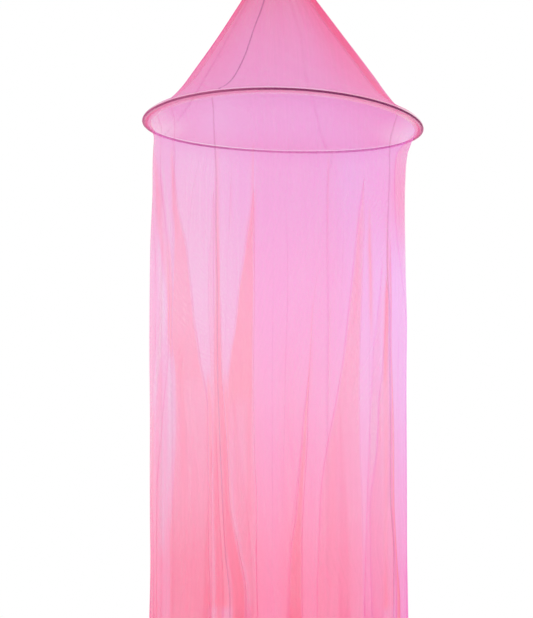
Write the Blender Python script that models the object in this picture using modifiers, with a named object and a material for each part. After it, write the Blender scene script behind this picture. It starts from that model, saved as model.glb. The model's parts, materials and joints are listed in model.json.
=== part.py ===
"""Mosquito net canopy with its hoop: four cone gores, four curtain panels, rod, casing, cap and loop.

Metres, +Z up. The canopy hangs, so the origin is the point where a hook bears inside the loop. The front
faces -Y, and +X is on the right as the front is seen. Azimuths are degrees from the front, to the right.
"""

import math
from collections import namedtuple

import bpy
from mathutils import Matrix, Vector

MM = 0.001

# Cloth
NET_THICKNESS = 1.0 * MM
SEWN_GAP = 0.4 * MM  # left between two solids that are sewn together

# Hoop
HOOP_RADIUS = 0.2946  # to the middle of the rod
ROD_RADIUS = 2.5 * MM
HOOP_DROP = 0.4115  # from the hook down to the middle of the hoop
HOOP_SHIFT = 0.0114  # the hoop hangs a little to the right of the hook
HOOP_TILT = math.radians(1.9)  # and its right side hangs lower
HOOP_SAG = 9.2 * MM  # its left and right sides hang lower than its front and back, as the rod is thin
HOOP_STEPS = 72
ROD_SIDES = 8

# Casing: section of the folded band round the rod, out from the rod's middle and up, open towards the inside
CASING_SECTION = (
    (-15.0 * MM, 2.0 * MM),
    (1.5 * MM, 3.7 * MM),
    (3.7 * MM, 1.5 * MM),
    (3.7 * MM, -1.5 * MM),
    (1.5 * MM, -3.7 * MM),
    (-15.0 * MM, -5.5 * MM),
)

# Top cap and hanging loop
CAP_RADIUS = 25.0 * MM
CAP_DEPTH = 22.0 * MM
CAP_THICKNESS = 1.6 * MM
CAP_STEPS = 32
TAPE_WIDTH = 12.0 * MM
TAPE_THICKNESS = 1.4 * MM
LOOP_HEIGHT = 46.0 * MM  # from the bearing point down to the cap
LOOP_HALF_WIDTH = 13.0 * MM
LOOP_FOOT = 1.6 * MM  # half the distance between the two sewn ends
LOOP_STEPS = 28

# Cone: height above the hoop, radius, and depth of the small pleats at its two sides
Ring = namedtuple("Ring", "height radius pleat")
CONE = (
    Ring(0.0049, 0.2951, 0.0),
    Ring(0.0150, 0.2760, 0.8 * MM),
    Ring(0.0320, 0.2500, 1.6 * MM),
    Ring(0.0600, 0.2252, 2.2 * MM),
    Ring(0.1000, 0.1968, 2.4 * MM),
    Ring(0.1765, 0.1418, 2.2 * MM),
    Ring(0.2565, 0.0863, 2.0 * MM),
    Ring(0.3125, 0.0475, 1.0 * MM),
    Ring(0.3395, 0.0231, 0.0),
    Ring(0.3620, 0.0225, 0.0),
)
CONE_TOP = CONE[-1].height
CONE_PLEATS = 20  # pleats in a full turn
GORE_COLUMN_ANGLE = 4.5  # degrees from one column of points to the next

# Curtain: depth under the hoop, radius, sideways shift, share of the hoop's tilt, height of the soft waves, and
# pitch from one layer of a fold to the next, which grows as the folds open towards the hem
Row = namedtuple("Row", "depth radius shift tilt wave pitch")
CURTAIN = (
    Row(0.0064, 0.2796, 0.0114, 1.00, 0.0, 3.6 * MM),
    Row(0.0300, 0.2720, 0.0115, 0.80, 0.2 * MM, 3.6 * MM),
    Row(0.0600, 0.2672, 0.0073, 0.45, 0.5 * MM, 3.6 * MM),
    Row(0.1000, 0.2642, 0.0038, 0.15, 0.9 * MM, 3.6 * MM),
    Row(0.1600, 0.2624, 0.0018, 0.00, 1.3 * MM, 3.6 * MM),
    Row(0.2500, 0.2642, 0.0000, 0.00, 1.6 * MM, 3.6 * MM),
    Row(0.3700, 0.2655, 0.0010, 0.00, 1.9 * MM, 3.6 * MM),
    Row(0.5000, 0.2640, 0.0000, 0.00, 2.2 * MM, 3.8 * MM),
    Row(0.6500, 0.2630, 0.0010, 0.00, 2.5 * MM, 4.0 * MM),
    Row(0.8000, 0.2620, 0.0020, 0.00, 2.8 * MM, 4.3 * MM),
    Row(0.9500, 0.2600, 0.0030, 0.00, 3.6 * MM, 4.6 * MM),
    Row(1.2000, 0.2640, 0.0030, 0.00, 8.0 * MM, 5.5 * MM),
    Row(1.6000, 0.2750, 0.0020, 0.00, 18.0 * MM, 8.0 * MM),
    Row(2.0800, 0.2900, 0.0010, 0.00, 28.0 * MM, 11.0 * MM),
)
HEM_UNEVENNESS = 6.0 * MM

# Seams: azimuths at these heights in the cone, and at these depths in the curtain
CONE_MARKS = (0.005, 0.04, 0.10, 0.18, 0.26, 0.362)
MARKS = (0.10, 0.16, 0.25, 0.37, 0.50, 0.65, 0.80, 0.95, 2.08)
Seam = namedtuple("Seam", "cone curtain")
SEAMS = {
    "front_left": Seam(
        (-25.0, -25.0, -23.0, -22.5, -19.5, -17.0),
        (-27.7, -27.3, -26.8, -26.3, -26.0, -25.2, -23.7, -21.4, -24.0),
    ),
    "front_right": Seam(
        (52.0, 50.5, 48.0, 42.5, 39.0, 38.0),
        (55.2, 56.1, 54.6, 54.0, 55.6, 55.8, 56.2, 59.5, 59.0),
    ),
    "back_right": Seam(
        (158.5, 158.5, 159.5, 158.0, 155.0, 155.0),
        (154.8, 154.5, 154.0, 154.2, 154.4, 154.6, 154.8, 155.0, 156.0),
    ),
    "back_left": Seam(
        (243.0, 248.0, 249.0, 249.5, 250.0, 250.0),
        (240.8, 240.5, 240.2, 240.0, 240.0, 240.0, 240.0, 240.0, 240.0),
    ),
}

# A flat fold is three layers of net. start: depth at which it opens. side: 1 if its outer edge looks to the
# right, -1 if to the left. edge: azimuths of the outer edge at the depths in MARKS. lap: how far, in
# millimetres, the layers overlap there.
Fold = namedtuple("Fold", "name side start edge lap")
PANELS = {
    "front": (
        "front_left",
        (
            Fold("seam_fold", 1, 0.66,
                 (-23.6, -23.4, -23.2, -23.0, -22.9, -22.0, -20.0, -14.3, -16.0),
                 (0, 0, 0, 0, 0, 0, 10, 25, 20)),
            Fold("middle", 1, 0.15,
                 (-10.5, -10.5, -10.2, -10.0, -10.2, -10.2, -9.4, -9.5, -6.0),
                 (0, 0, 12, 31, 47, 47, 30, 8, 30)),
            Fold("thin", 1, 0.33,
                 (15.9, 15.9, 15.9, 15.2, 13.3, 11.6, 9.4, 8.8, 9.0), (0, 0, 0, 1, 2, 11, 14, 25, 50)),
            Fold("broad", 1, 0.14,
                 (38.6, 38.6, 38.9, 37.1, 36.2, 35.8, 36.7, 37.0, 38.0), (0, 2, 18, 29, 39, 69, 93, 100, 90)),
            Fold("late", 1, 0.33,
                 (52.3, 52.3, 52.0, 52.0, 53.6, 54.0, 54.2, 57.4, 56.5), (0, 0, 0, 6, 21, 42, 66, 78, 60)),
        ),
        "front_right",
    ),
    "right": (
        "front_right",
        (
            Fold("corner", 1, 0.20,
                 (57.0, 57.8, 57.6, 57.4, 58.0, 60.3, 60.7, 65.5, 67.5), (0, 0, 2, 6, 5, 12, 12, 18, 26)),
            Fold("right_side", 1, 0.01,
                 (84.0, 84.8, 86.2, 96.0, 102.8, 103.9, 103.5, 103.0, 104.0),
                 (105, 107, 102, 106, 94, 81, 78, 75, 90)),
            Fold("back_a", -1, 0.25,
                 (118.0, 118.0, 118.0, 120.4, 121.0, 121.0, 121.0, 121.0, 121.0),
                 (0, 0, 0, 14, 30, 38, 47, 55, 75)),
            Fold("back_b", 1, 0.55,
                 (147.0, 147.0, 147.0, 147.0, 147.0, 147.0, 147.5, 148.0, 150.0),
                 (0, 0, 0, 0, 0, 8, 19, 30, 45)),
        ),
        "back_right",
    ),
    "back": (
        "back_right",
        (
            Fold("back_c", -1, 0.60,
                 (167.0, 167.0, 167.0, 167.0, 167.0, 167.0, 167.5, 168.0, 168.0),
                 (0, 0, 0, 0, 0, 4, 17, 30, 65)),
            Fold("back_d", 1, 0.50,
                 (203.0, 203.0, 203.0, 202.5, 202.0, 202.0, 201.5, 201.0, 202.0),
                 (0, 0, 0, 0, 0, 12, 23, 35, 70)),
            Fold("back_e", -1, 0.62,
                 (214.0, 214.0, 214.0, 214.0, 214.0, 214.0, 214.5, 215.0, 215.0),
                 (0, 0, 0, 0, 0, 2, 12, 22, 60)),
        ),
        "back_left",
    ),
    "left": (
        "back_left",
        (
            Fold("back_f", -1, 0.20,
                 (250.0, 250.0, 250.0, 250.0, 250.0, 250.3, 250.6, 251.0, 251.0),
                 (0, 0, 5, 17, 30, 34, 38, 42, 50)),
            Fold("left_rim", 1, 0.01,
                 (281.6, 283.0, 289.3, 292.4, 291.3, 285.5, 280.9, 279.5, 282.0),
                 (43, 46, 54, 64, 58, 50, 50, 50, 70)),
            Fold("shallow", 1, 0.01,
                 (294.6, 296.0, 302.5, 305.9, 305.0, 298.0, 292.0, 290.5, 295.0),
                 (43, 42, 47, 16, 30, 40, 35, 34, 40)),
            Fold("wedge", 1, 0.01,
                 (307.7, 309.2, 315.4, 320.9, 325.4, 329.3, 329.3, 330.0, 328.0),
                 (8, 7, 29, 56, 76, 87, 101, 113, 95)),
        ),
        "front_left",
    ),
}
FOLD_SETTLED = 18.0 * MM  # a fold lies flat once its lap is this deep
FOLD_TURN = 0.6  # length of the turn at a fold's edge, as a share of the pitch
FOLD_CLEAR = 2.2 * MM  # past the turn, before the net may follow the waves again
FLAT_COLUMN = 1.2 * MM  # between a fold's columns where it hasn't opened yet
PLAIN_COLUMNS = 2  # columns of points between one fold or seam and the next

Paint = namedtuple("Paint", "colour roughness metallic alpha")
PAINTS = {
    "net_fabric": Paint((0.90, 0.30, 0.52, 1.0), 0.8, 0.0, 0.55),
    "rod_plastic": Paint((0.10, 0.015, 0.05, 1.0), 0.4, 0.0, 1.0),
    "tape_fabric": Paint((0.85, 0.25, 0.46, 1.0), 0.8, 0.0, 1.0),
}


def clear_scene():
    for old in list(bpy.data.objects):
        bpy.data.objects.remove(old, do_unlink=True)


def make_collection():
    collection = bpy.data.collections.new("mosquito_net_canopy")
    bpy.context.scene.collection.children.link(collection)
    return collection


def make_material(name):
    paint = PAINTS[name]
    material = bpy.data.materials.new(name)
    material.use_nodes = True
    shader = material.node_tree.nodes["Principled BSDF"]
    shader.inputs["Base Color"].default_value = paint.colour
    shader.inputs["Roughness"].default_value = paint.roughness
    shader.inputs["Metallic"].default_value = paint.metallic
    shader.inputs["Alpha"].default_value = paint.alpha
    return material


def add_object(name, data, material, collection):
    made = bpy.data.objects.new(name, data)
    data.materials.append(material)
    collection.objects.link(made)
    return made


def thicken(sheet, thickness):
    solidify = sheet.modifiers.new("thickness", "SOLIDIFY")
    solidify.thickness = thickness
    solidify.offset = 0.0
    return solidify


def smoothstep(value):
    value = min(1.0, max(0.0, value))
    return value * value * (3.0 - 2.0 * value)


def between(stations, values, place):
    """Value at a place, in straight lines from station to station."""
    for k in range(1, len(stations)):
        if place <= stations[k]:
            break
    share = (place - stations[k - 1]) / (stations[k] - stations[k - 1])
    share = min(1.0, max(0.0, share))
    return values[k - 1] + share * (values[k] - values[k - 1])


def sag_at(angle):
    """How far the hoop hangs under its highest points, at an azimuth in radians."""
    return HOOP_SAG * math.sin(angle) ** 2


def hoop_point(angle, out, up):
    """A point near the rod, from how far out and up it is from the rod's middle at an azimuth in radians."""
    radius = HOOP_RADIUS + out
    flat = Vector((radius * math.sin(angle), -radius * math.cos(angle), up - sag_at(angle)))
    tilted = Matrix.Rotation(HOOP_TILT, 3, "Y") @ flat
    return tilted + Vector((HOOP_SHIFT, 0.0, -HOOP_DROP))


def grid_mesh(name, columns):
    """A sheet from columns of points. A column runs downwards, and columns run to the right from outside."""
    rows = len(columns[0])
    points = [point for column in columns for point in column]
    faces = [
        (c * rows + r + 1, (c + 1) * rows + r + 1, (c + 1) * rows + r, c * rows + r)
        for c in range(len(columns) - 1)
        for r in range(rows - 1)
    ]
    mesh = bpy.data.meshes.new(name)
    mesh.from_pydata(points, [], faces)
    mesh.validate()
    return mesh


# ---------------------------------------------------------------- cone gores


def cone_point(azimuth, ring):
    """A point of the cone. Its rings lean and shift with the hoop, and come level at the top."""
    angle = math.radians(azimuth)
    side = math.sin(angle) ** 2
    radius = ring.radius + ring.pleat * side * math.sin(CONE_PLEATS * angle)
    hold = 1.0 - smoothstep(ring.height / CONE_TOP)
    across = radius * math.sin(angle)
    drop = (math.tan(HOOP_TILT) * across + sag_at(angle)) * hold
    lean = ring.height * math.sin(HOOP_TILT)
    middle = (HOOP_SHIFT + lean) * hold
    return Vector((middle + across, -radius * math.cos(angle), ring.height - HOOP_DROP - drop))


def make_gore(name, first_seam, last_seam, material, collection):
    spans = []
    for ring in reversed(CONE):
        # The gap at a seam has the same width from top to bottom, so its angle grows towards the top.
        margin = math.degrees(SEWN_GAP / 2.0 / ring.radius)
        start = between(CONE_MARKS, SEAMS[first_seam].cone, ring.height) + margin
        end = between(CONE_MARKS, SEAMS[last_seam].cone, ring.height) - margin
        spans.append((ring, start, end if end > start else end + 360.0))
    count = math.ceil(max(end - start for _, start, end in spans) / GORE_COLUMN_ANGLE)
    columns = [
        [cone_point(start + (end - start) * k / count, ring) for ring, start, end in spans]
        for k in range(count + 1)
    ]
    gore = add_object("gore_" + name, grid_mesh("gore_" + name, columns), material, collection)
    thicken(gore, NET_THICKNESS)
    return gore


# ------------------------------------------------------------ curtain panels


def lap_at(fold, depth):
    if depth <= fold.start:
        return 0.0
    stations = [fold.start] + [mark for mark in MARKS if mark > fold.start]
    laps = [0.0] + [lap * MM for mark, lap in zip(MARKS, fold.lap) if mark > fold.start]
    return between(stations, laps, depth)


def swell_at(azimuth, depth):
    """Soft waves round the curtain, from -1 to 1."""
    angle = math.radians(azimuth)
    return 0.6 * math.sin(9.0 * angle + 1.1) + 0.4 * math.sin(14.0 * angle + 2.0 * depth)


def fold_columns(fold, row):
    """(azimuth, offset outwards) of the eight columns of one fold in one row, from left to right along the net.

    The soft waves run straight across a fold, so that its three layers stay parallel.
    """
    lap = lap_at(fold, row.depth)
    pitch = row.pitch * smoothstep(lap / (0.5 * FOLD_SETTLED))
    turned = smoothstep((lap - 0.2 * FOLD_SETTLED) / (0.8 * FOLD_SETTLED))
    turn = FOLD_TURN * row.pitch
    clear = turn + FOLD_CLEAR
    flat = [(k - 3.5) * FLAT_COLUMN for k in range(8)]
    folded = [-lap - clear, -turn, 0.0, -turn, turn - lap, -lap, turn - lap, clear]
    offsets = [1.0, 1.0, 0.5, 0.0, 0.0, -0.5, -1.0, -1.0]
    edge = between(MARKS, fold.edge, row.depth)
    azimuths = []
    for k in range(8):
        along = flat[k] + turned * (folded[k] - flat[k])
        azimuths.append(edge + fold.side * math.degrees(along / row.radius))
    ends = (azimuths[0], azimuths[-1])
    swells = [swell_at(end, row.depth) for end in ends]
    columns = []
    for azimuth, offset in zip(azimuths, offsets):
        share = (azimuth - ends[0]) / (ends[1] - ends[0])
        swell = swells[0] + share * (swells[1] - swells[0])
        columns.append((azimuth, pitch * offset + row.wave * swell))
    return columns[:: fold.side]


def panel_row(first_seam, folds, last_seam, row):
    """(azimuth, offset) of every column of a panel in one row."""
    margin = math.degrees(SEWN_GAP / 2.0 / row.radius)
    start = between(MARKS, SEAMS[first_seam].curtain, row.depth) + margin
    end = between(MARKS, SEAMS[last_seam].curtain, row.depth) - margin
    if end < start:
        end += 360.0
    columns = [(start, row.wave * swell_at(start, row.depth))]
    last = [(end, row.wave * swell_at(end, row.depth))]
    for group in [fold_columns(fold, row) for fold in folds] + [last]:
        azimuth, offset = columns[-1]
        for k in range(1, PLAIN_COLUMNS + 1):
            share = k / (PLAIN_COLUMNS + 1)
            place = azimuth + share * (group[0][0] - azimuth)
            # Half-way the net follows the waves, and near a fold it follows the fold.
            free = min(share, 1.0 - share) * 2.0
            straight = offset + share * (group[0][1] - offset)
            waved = row.wave * swell_at(place, row.depth)
            columns.append((place, straight + free * (waved - straight)))
        columns.extend(group)
    return columns


def curtain_point(azimuth, offset, row):
    angle = math.radians(azimuth)
    radius = row.radius + offset
    across = radius * math.sin(angle)
    low = smoothstep((row.depth - MARKS[-2]) / (MARKS[-1] - MARKS[-2]))
    depth = row.depth + (math.tan(HOOP_TILT) * across + sag_at(angle)) * row.tilt
    depth += low * HEM_UNEVENNESS * math.sin(3.0 * angle + 0.7)
    lean = -row.depth * math.sin(HOOP_TILT) * row.tilt
    return Vector((across + row.shift + lean, -radius * math.cos(angle), -HOOP_DROP - depth))


def make_curtain(name, material, collection):
    first_seam, folds, last_seam = PANELS[name]
    rows = [panel_row(first_seam, folds, last_seam, row) for row in CURTAIN]
    columns = [
        [curtain_point(*rows[r][c], CURTAIN[r]) for r in range(len(CURTAIN))]
        for c in range(len(rows[0]))
    ]
    mesh = grid_mesh("curtain_" + name, columns)
    curtain = add_object("curtain_" + name, mesh, material, collection)
    thicken(curtain, NET_THICKNESS)
    return curtain


# ---------------------------------------------------- hoop, casing, cap, loop


def ring_mesh(name, profile, closed):
    """A ring along the hoop, from its section's points (out, up), anticlockwise. closed: the section is too."""
    count = len(profile)
    points = [
        hoop_point(2.0 * math.pi * k / HOOP_STEPS, out, up)
        for k in range(HOOP_STEPS)
        for out, up in profile
    ]
    faces = []
    for k in range(HOOP_STEPS):
        here, following = k * count, (k + 1) % HOOP_STEPS * count
        for j in range(count if closed else count - 1):
            upper = (j + 1) % count
            faces.append((here + j, following + j, following + upper, here + upper))
    mesh = bpy.data.meshes.new(name)
    mesh.from_pydata(points, [], faces)
    mesh.validate()
    return mesh


def make_hoop(material, collection):
    turns = [2.0 * math.pi * j / ROD_SIDES for j in range(ROD_SIDES)]
    profile = [(ROD_RADIUS * math.cos(turn), ROD_RADIUS * math.sin(turn)) for turn in turns]
    mesh = ring_mesh("hoop", profile, True)
    mesh.shade_smooth()
    return add_object("hoop", mesh, material, collection)


def turned_shell(name, profile, steps, thickness, material, collection):
    """A shell turned round Z from an open profile of (radius, height), from top to bottom on its outer side."""
    mesh = bpy.data.meshes.new(name)
    points = [(radius, 0.0, height) for radius, height in profile]
    mesh.from_pydata(points, [(k, k + 1) for k in range(len(points) - 1)], [])
    shell = add_object(name, mesh, material, collection)
    screw = shell.modifiers.new("turn", "SCREW")
    screw.steps = steps
    screw.render_steps = steps
    screw.use_merge_vertices = True
    screw.merge_threshold = 0.00005
    screw.use_normal_calculate = True
    thicken(shell, thickness)
    return shell


def make_casing(material, collection):
    mesh = ring_mesh("hoop_casing", CASING_SECTION[::-1], False)
    casing = add_object("hoop_casing", mesh, material, collection)
    thicken(casing, NET_THICKNESS)
    return casing


def make_cap(material, collection):
    top = -LOOP_HEIGHT - SEWN_GAP - CAP_THICKNESS / 2.0
    profile = [
        (0.0, top),
        (CAP_RADIUS - 2.0 * MM, top),
        (CAP_RADIUS, top - 2.0 * MM),
        (CAP_RADIUS, top - CAP_DEPTH),
    ]
    return turned_shell("top_binding", profile, CAP_STEPS, CAP_THICKNESS, material, collection)


def loop_path():
    """Middle line of the tape in XZ: upright from its left sewn end, over the top as a drop, and down again."""
    path = []
    middle = TAPE_THICKNESS / 2.0
    widest = math.cos(math.pi / 6.0) ** 3 * math.sin(math.pi / 6.0)
    for k in range(LOOP_STEPS + 1):
        half_turn = math.pi * (k / LOOP_STEPS - 0.5)  # upright at both ends, and 0 at the top
        rise = math.cos(half_turn) ** 2
        bulge = math.cos(half_turn) ** 3 * math.sin(half_turn) / widest
        foot = math.copysign((1.0 - rise) ** 2, half_turn)
        across = LOOP_HALF_WIDTH * bulge + LOOP_FOOT * foot
        path.append(Vector((across, 0.0, middle - (LOOP_HEIGHT + middle) * (1.0 - rise))))
    return path


def make_loop(material, collection):
    back = Vector((0.0, TAPE_WIDTH / 2.0, 0.0))
    columns = [(point - back, point + back) for point in loop_path()]
    tape = add_object("hanging_loop", grid_mesh("hanging_loop", columns), material, collection)
    thicken(tape, TAPE_THICKNESS)
    return tape


def main():
    clear_scene()
    collection = make_collection()
    net = make_material("net_fabric")
    rod = make_material("rod_plastic")
    tape = make_material("tape_fabric")
    make_hoop(rod, collection)
    make_casing(net, collection)
    for name, (first_seam, _, last_seam) in PANELS.items():
        make_gore(name, first_seam, last_seam, net, collection)
        make_curtain(name, net, collection)
    make_cap(tape, collection)
    make_loop(tape, collection)


main()
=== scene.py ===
"""Looks of the mosquito net canopy: sheer pink net with folds and seams, rod, casing, cap, loop, floor and light.

Metres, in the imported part's own frame: +Z up, the front faces -Y, and the origin is where the hook bears. Azimuths
are degrees from the front, growing to the right. A place is a depth under the hoop for the curtain, and a height over
it for the cone. Widths, laps, pleats and pitches in the tables are in millimetres.
"""

import json
import math
from bisect import bisect_right
from collections import namedtuple

import bpy
from mathutils import Matrix, Vector, noise

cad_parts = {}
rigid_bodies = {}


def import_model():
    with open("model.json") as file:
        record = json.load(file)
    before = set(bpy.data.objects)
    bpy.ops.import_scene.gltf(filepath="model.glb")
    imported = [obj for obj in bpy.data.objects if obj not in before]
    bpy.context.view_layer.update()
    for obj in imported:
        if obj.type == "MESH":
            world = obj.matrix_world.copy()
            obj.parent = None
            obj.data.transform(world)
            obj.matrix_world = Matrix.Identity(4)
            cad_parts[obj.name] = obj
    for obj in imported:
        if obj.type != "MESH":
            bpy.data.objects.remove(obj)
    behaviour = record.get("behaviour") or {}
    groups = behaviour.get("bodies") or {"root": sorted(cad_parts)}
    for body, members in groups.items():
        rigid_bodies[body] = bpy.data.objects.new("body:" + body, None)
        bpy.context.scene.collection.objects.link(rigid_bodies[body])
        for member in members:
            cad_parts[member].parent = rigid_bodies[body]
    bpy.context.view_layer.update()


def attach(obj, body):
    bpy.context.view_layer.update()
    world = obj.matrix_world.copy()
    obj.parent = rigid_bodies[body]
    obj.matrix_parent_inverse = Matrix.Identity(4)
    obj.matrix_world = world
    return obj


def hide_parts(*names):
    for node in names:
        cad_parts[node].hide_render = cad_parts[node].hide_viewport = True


MM = 0.001
BODY = "root"

# Measures that the part's source has too
SEWN_GAP = 0.4 * MM
HOOP_RADIUS = 0.2946
HOOP_DROP = 0.4115
HOOP_SHIFT = 0.0114
HOOP_TILT = math.radians(1.9)
HOOP_SAG = 9.2 * MM
CAP_RADIUS = 25.0 * MM
CAP_DEPTH = 22.0 * MM
TAPE_WIDTH = 12.0 * MM
TAPE_THICKNESS = 1.4 * MM
LOOP_HEIGHT = 46.0 * MM
LOOP_HALF_WIDTH = 13.0 * MM
LOOP_FOOT = 1.6 * MM
CONE_PLEATS = 20
HEM_UNEVENNESS = 6.0 * MM
HEM_FROM = 0.95  # depth from which the hem's unevenness grows

# Cone: height, radius, depth of the pleats at its two sides, pitch of a fold's layers
CONE = (
    (0.0044, 0.2951, 0, 0.4), (0.015, 0.276, 0.8, 0.5), (0.032, 0.25, 1.4, 0.5), (0.06, 0.224, 1.8, 0.6),
    (0.1, 0.1955, 1.8, 0.6), (0.1765, 0.1404, 1.8, 0.6), (0.2565, 0.085, 1.6, 0.6), (0.3125, 0.0472, 1, 0.5),
    (0.3395, 0.0231, 0.2, 0.4), (0.362, 0.0225, 0, 0.3),
)

# Curtain: depth, radius, sideways shift, share of the hoop's tilt, height of the soft waves, pitch of a fold's layers
CURTAIN = (
    (0.0056, 0.2798, 0.0114, 1, 0, 0.4), (0.03, 0.272, 0.0115, 0.8, 0.2, 0.5),
    (0.06, 0.268, 0.0073, 0.45, 0.5, 0.5), (0.1, 0.266, 0.0038, 0.15, 0.9, 0.5),
    (0.16, 0.2645, 0.0018, 0, 1.3, 0.5), (0.25, 0.2662, 0, 0, 1.6, 0.5), (0.37, 0.2677, 0.001, 0, 1.9, 0.5),
    (0.5, 0.2662, 0, 0, 2.2, 0.6), (0.65, 0.2652, 0.001, 0, 2.5, 0.7), (0.8, 0.2642, 0.002, 0, 2.8, 0.8),
    (0.95, 0.2624, 0.003, 0, 3.6, 1), (1.2, 0.264, 0.003, 0, 8, 3), (1.6, 0.275, 0.002, 0, 18, 6),
    (2.08, 0.29, 0.001, 0, 28, 9),
)
CONE_TOP, CONE_FOOT = CONE[-1][0], CONE[0][0]
CURTAIN_TOP, CURTAIN_FOOT = CURTAIN[0][0], CURTAIN[-1][0]
HEM_DEPTH = 18.0 * MM  # turned up and sewn

# Panels, each from its own seam to the next one
PANELS = {"front": "front_left", "right": "front_right", "back": "back_right", "left": "back_left"}
# Seams: (height, azimuth) in the cone, and (depth, azimuth) in the curtain
SEAMS = {
    "front_left": (
        ((0.005, -25), (0.065, -24), (0.105, -23), (0.153, -23), (0.223, -20.5), (0.362, -17)),
        ((0.006, -29.8), (0.035, -30.1), (0.06, -29.4), (0.105, -28.2), (0.2, -27.2), (0.37, -26.3), (0.54, -25.9),
         (0.66, -25.1), (0.81, -23.6), (0.88, -22.8), (0.96, -21.2), (2.08, -24)),
    ),
    "front_right": (
        ((0.005, 52), (0.05, 50), (0.082, 49), (0.117, 47), (0.157, 45), (0.19, 41.5), (0.26, 39), (0.362, 38)),
        ((0.006, 53.7), (0.05, 54.1), (0.08, 54.8), (0.14, 56.2), (0.25, 54.6), (0.33, 53.2), (0.42, 55),
         (0.58, 56), (0.78, 55.4), (0.82, 57), (0.9, 59.5), (2.08, 59)),
    ),
    "back_right": (
        ((0.005, 158.5), (0.064, 158.5), (0.14, 160), (0.187, 158), (0.222, 155), (0.362, 155)),
        ((0.006, 155), (0.25, 154), (0.95, 155), (2.08, 156)),
    ),
    "back_left": (
        ((0.005, 242.5), (0.02, 246), (0.041, 248), (0.1, 249), (0.23, 250), (0.362, 250)),
        ((0.006, 241), (0.3, 240), (2.08, 240)),
    ),
}

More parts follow.
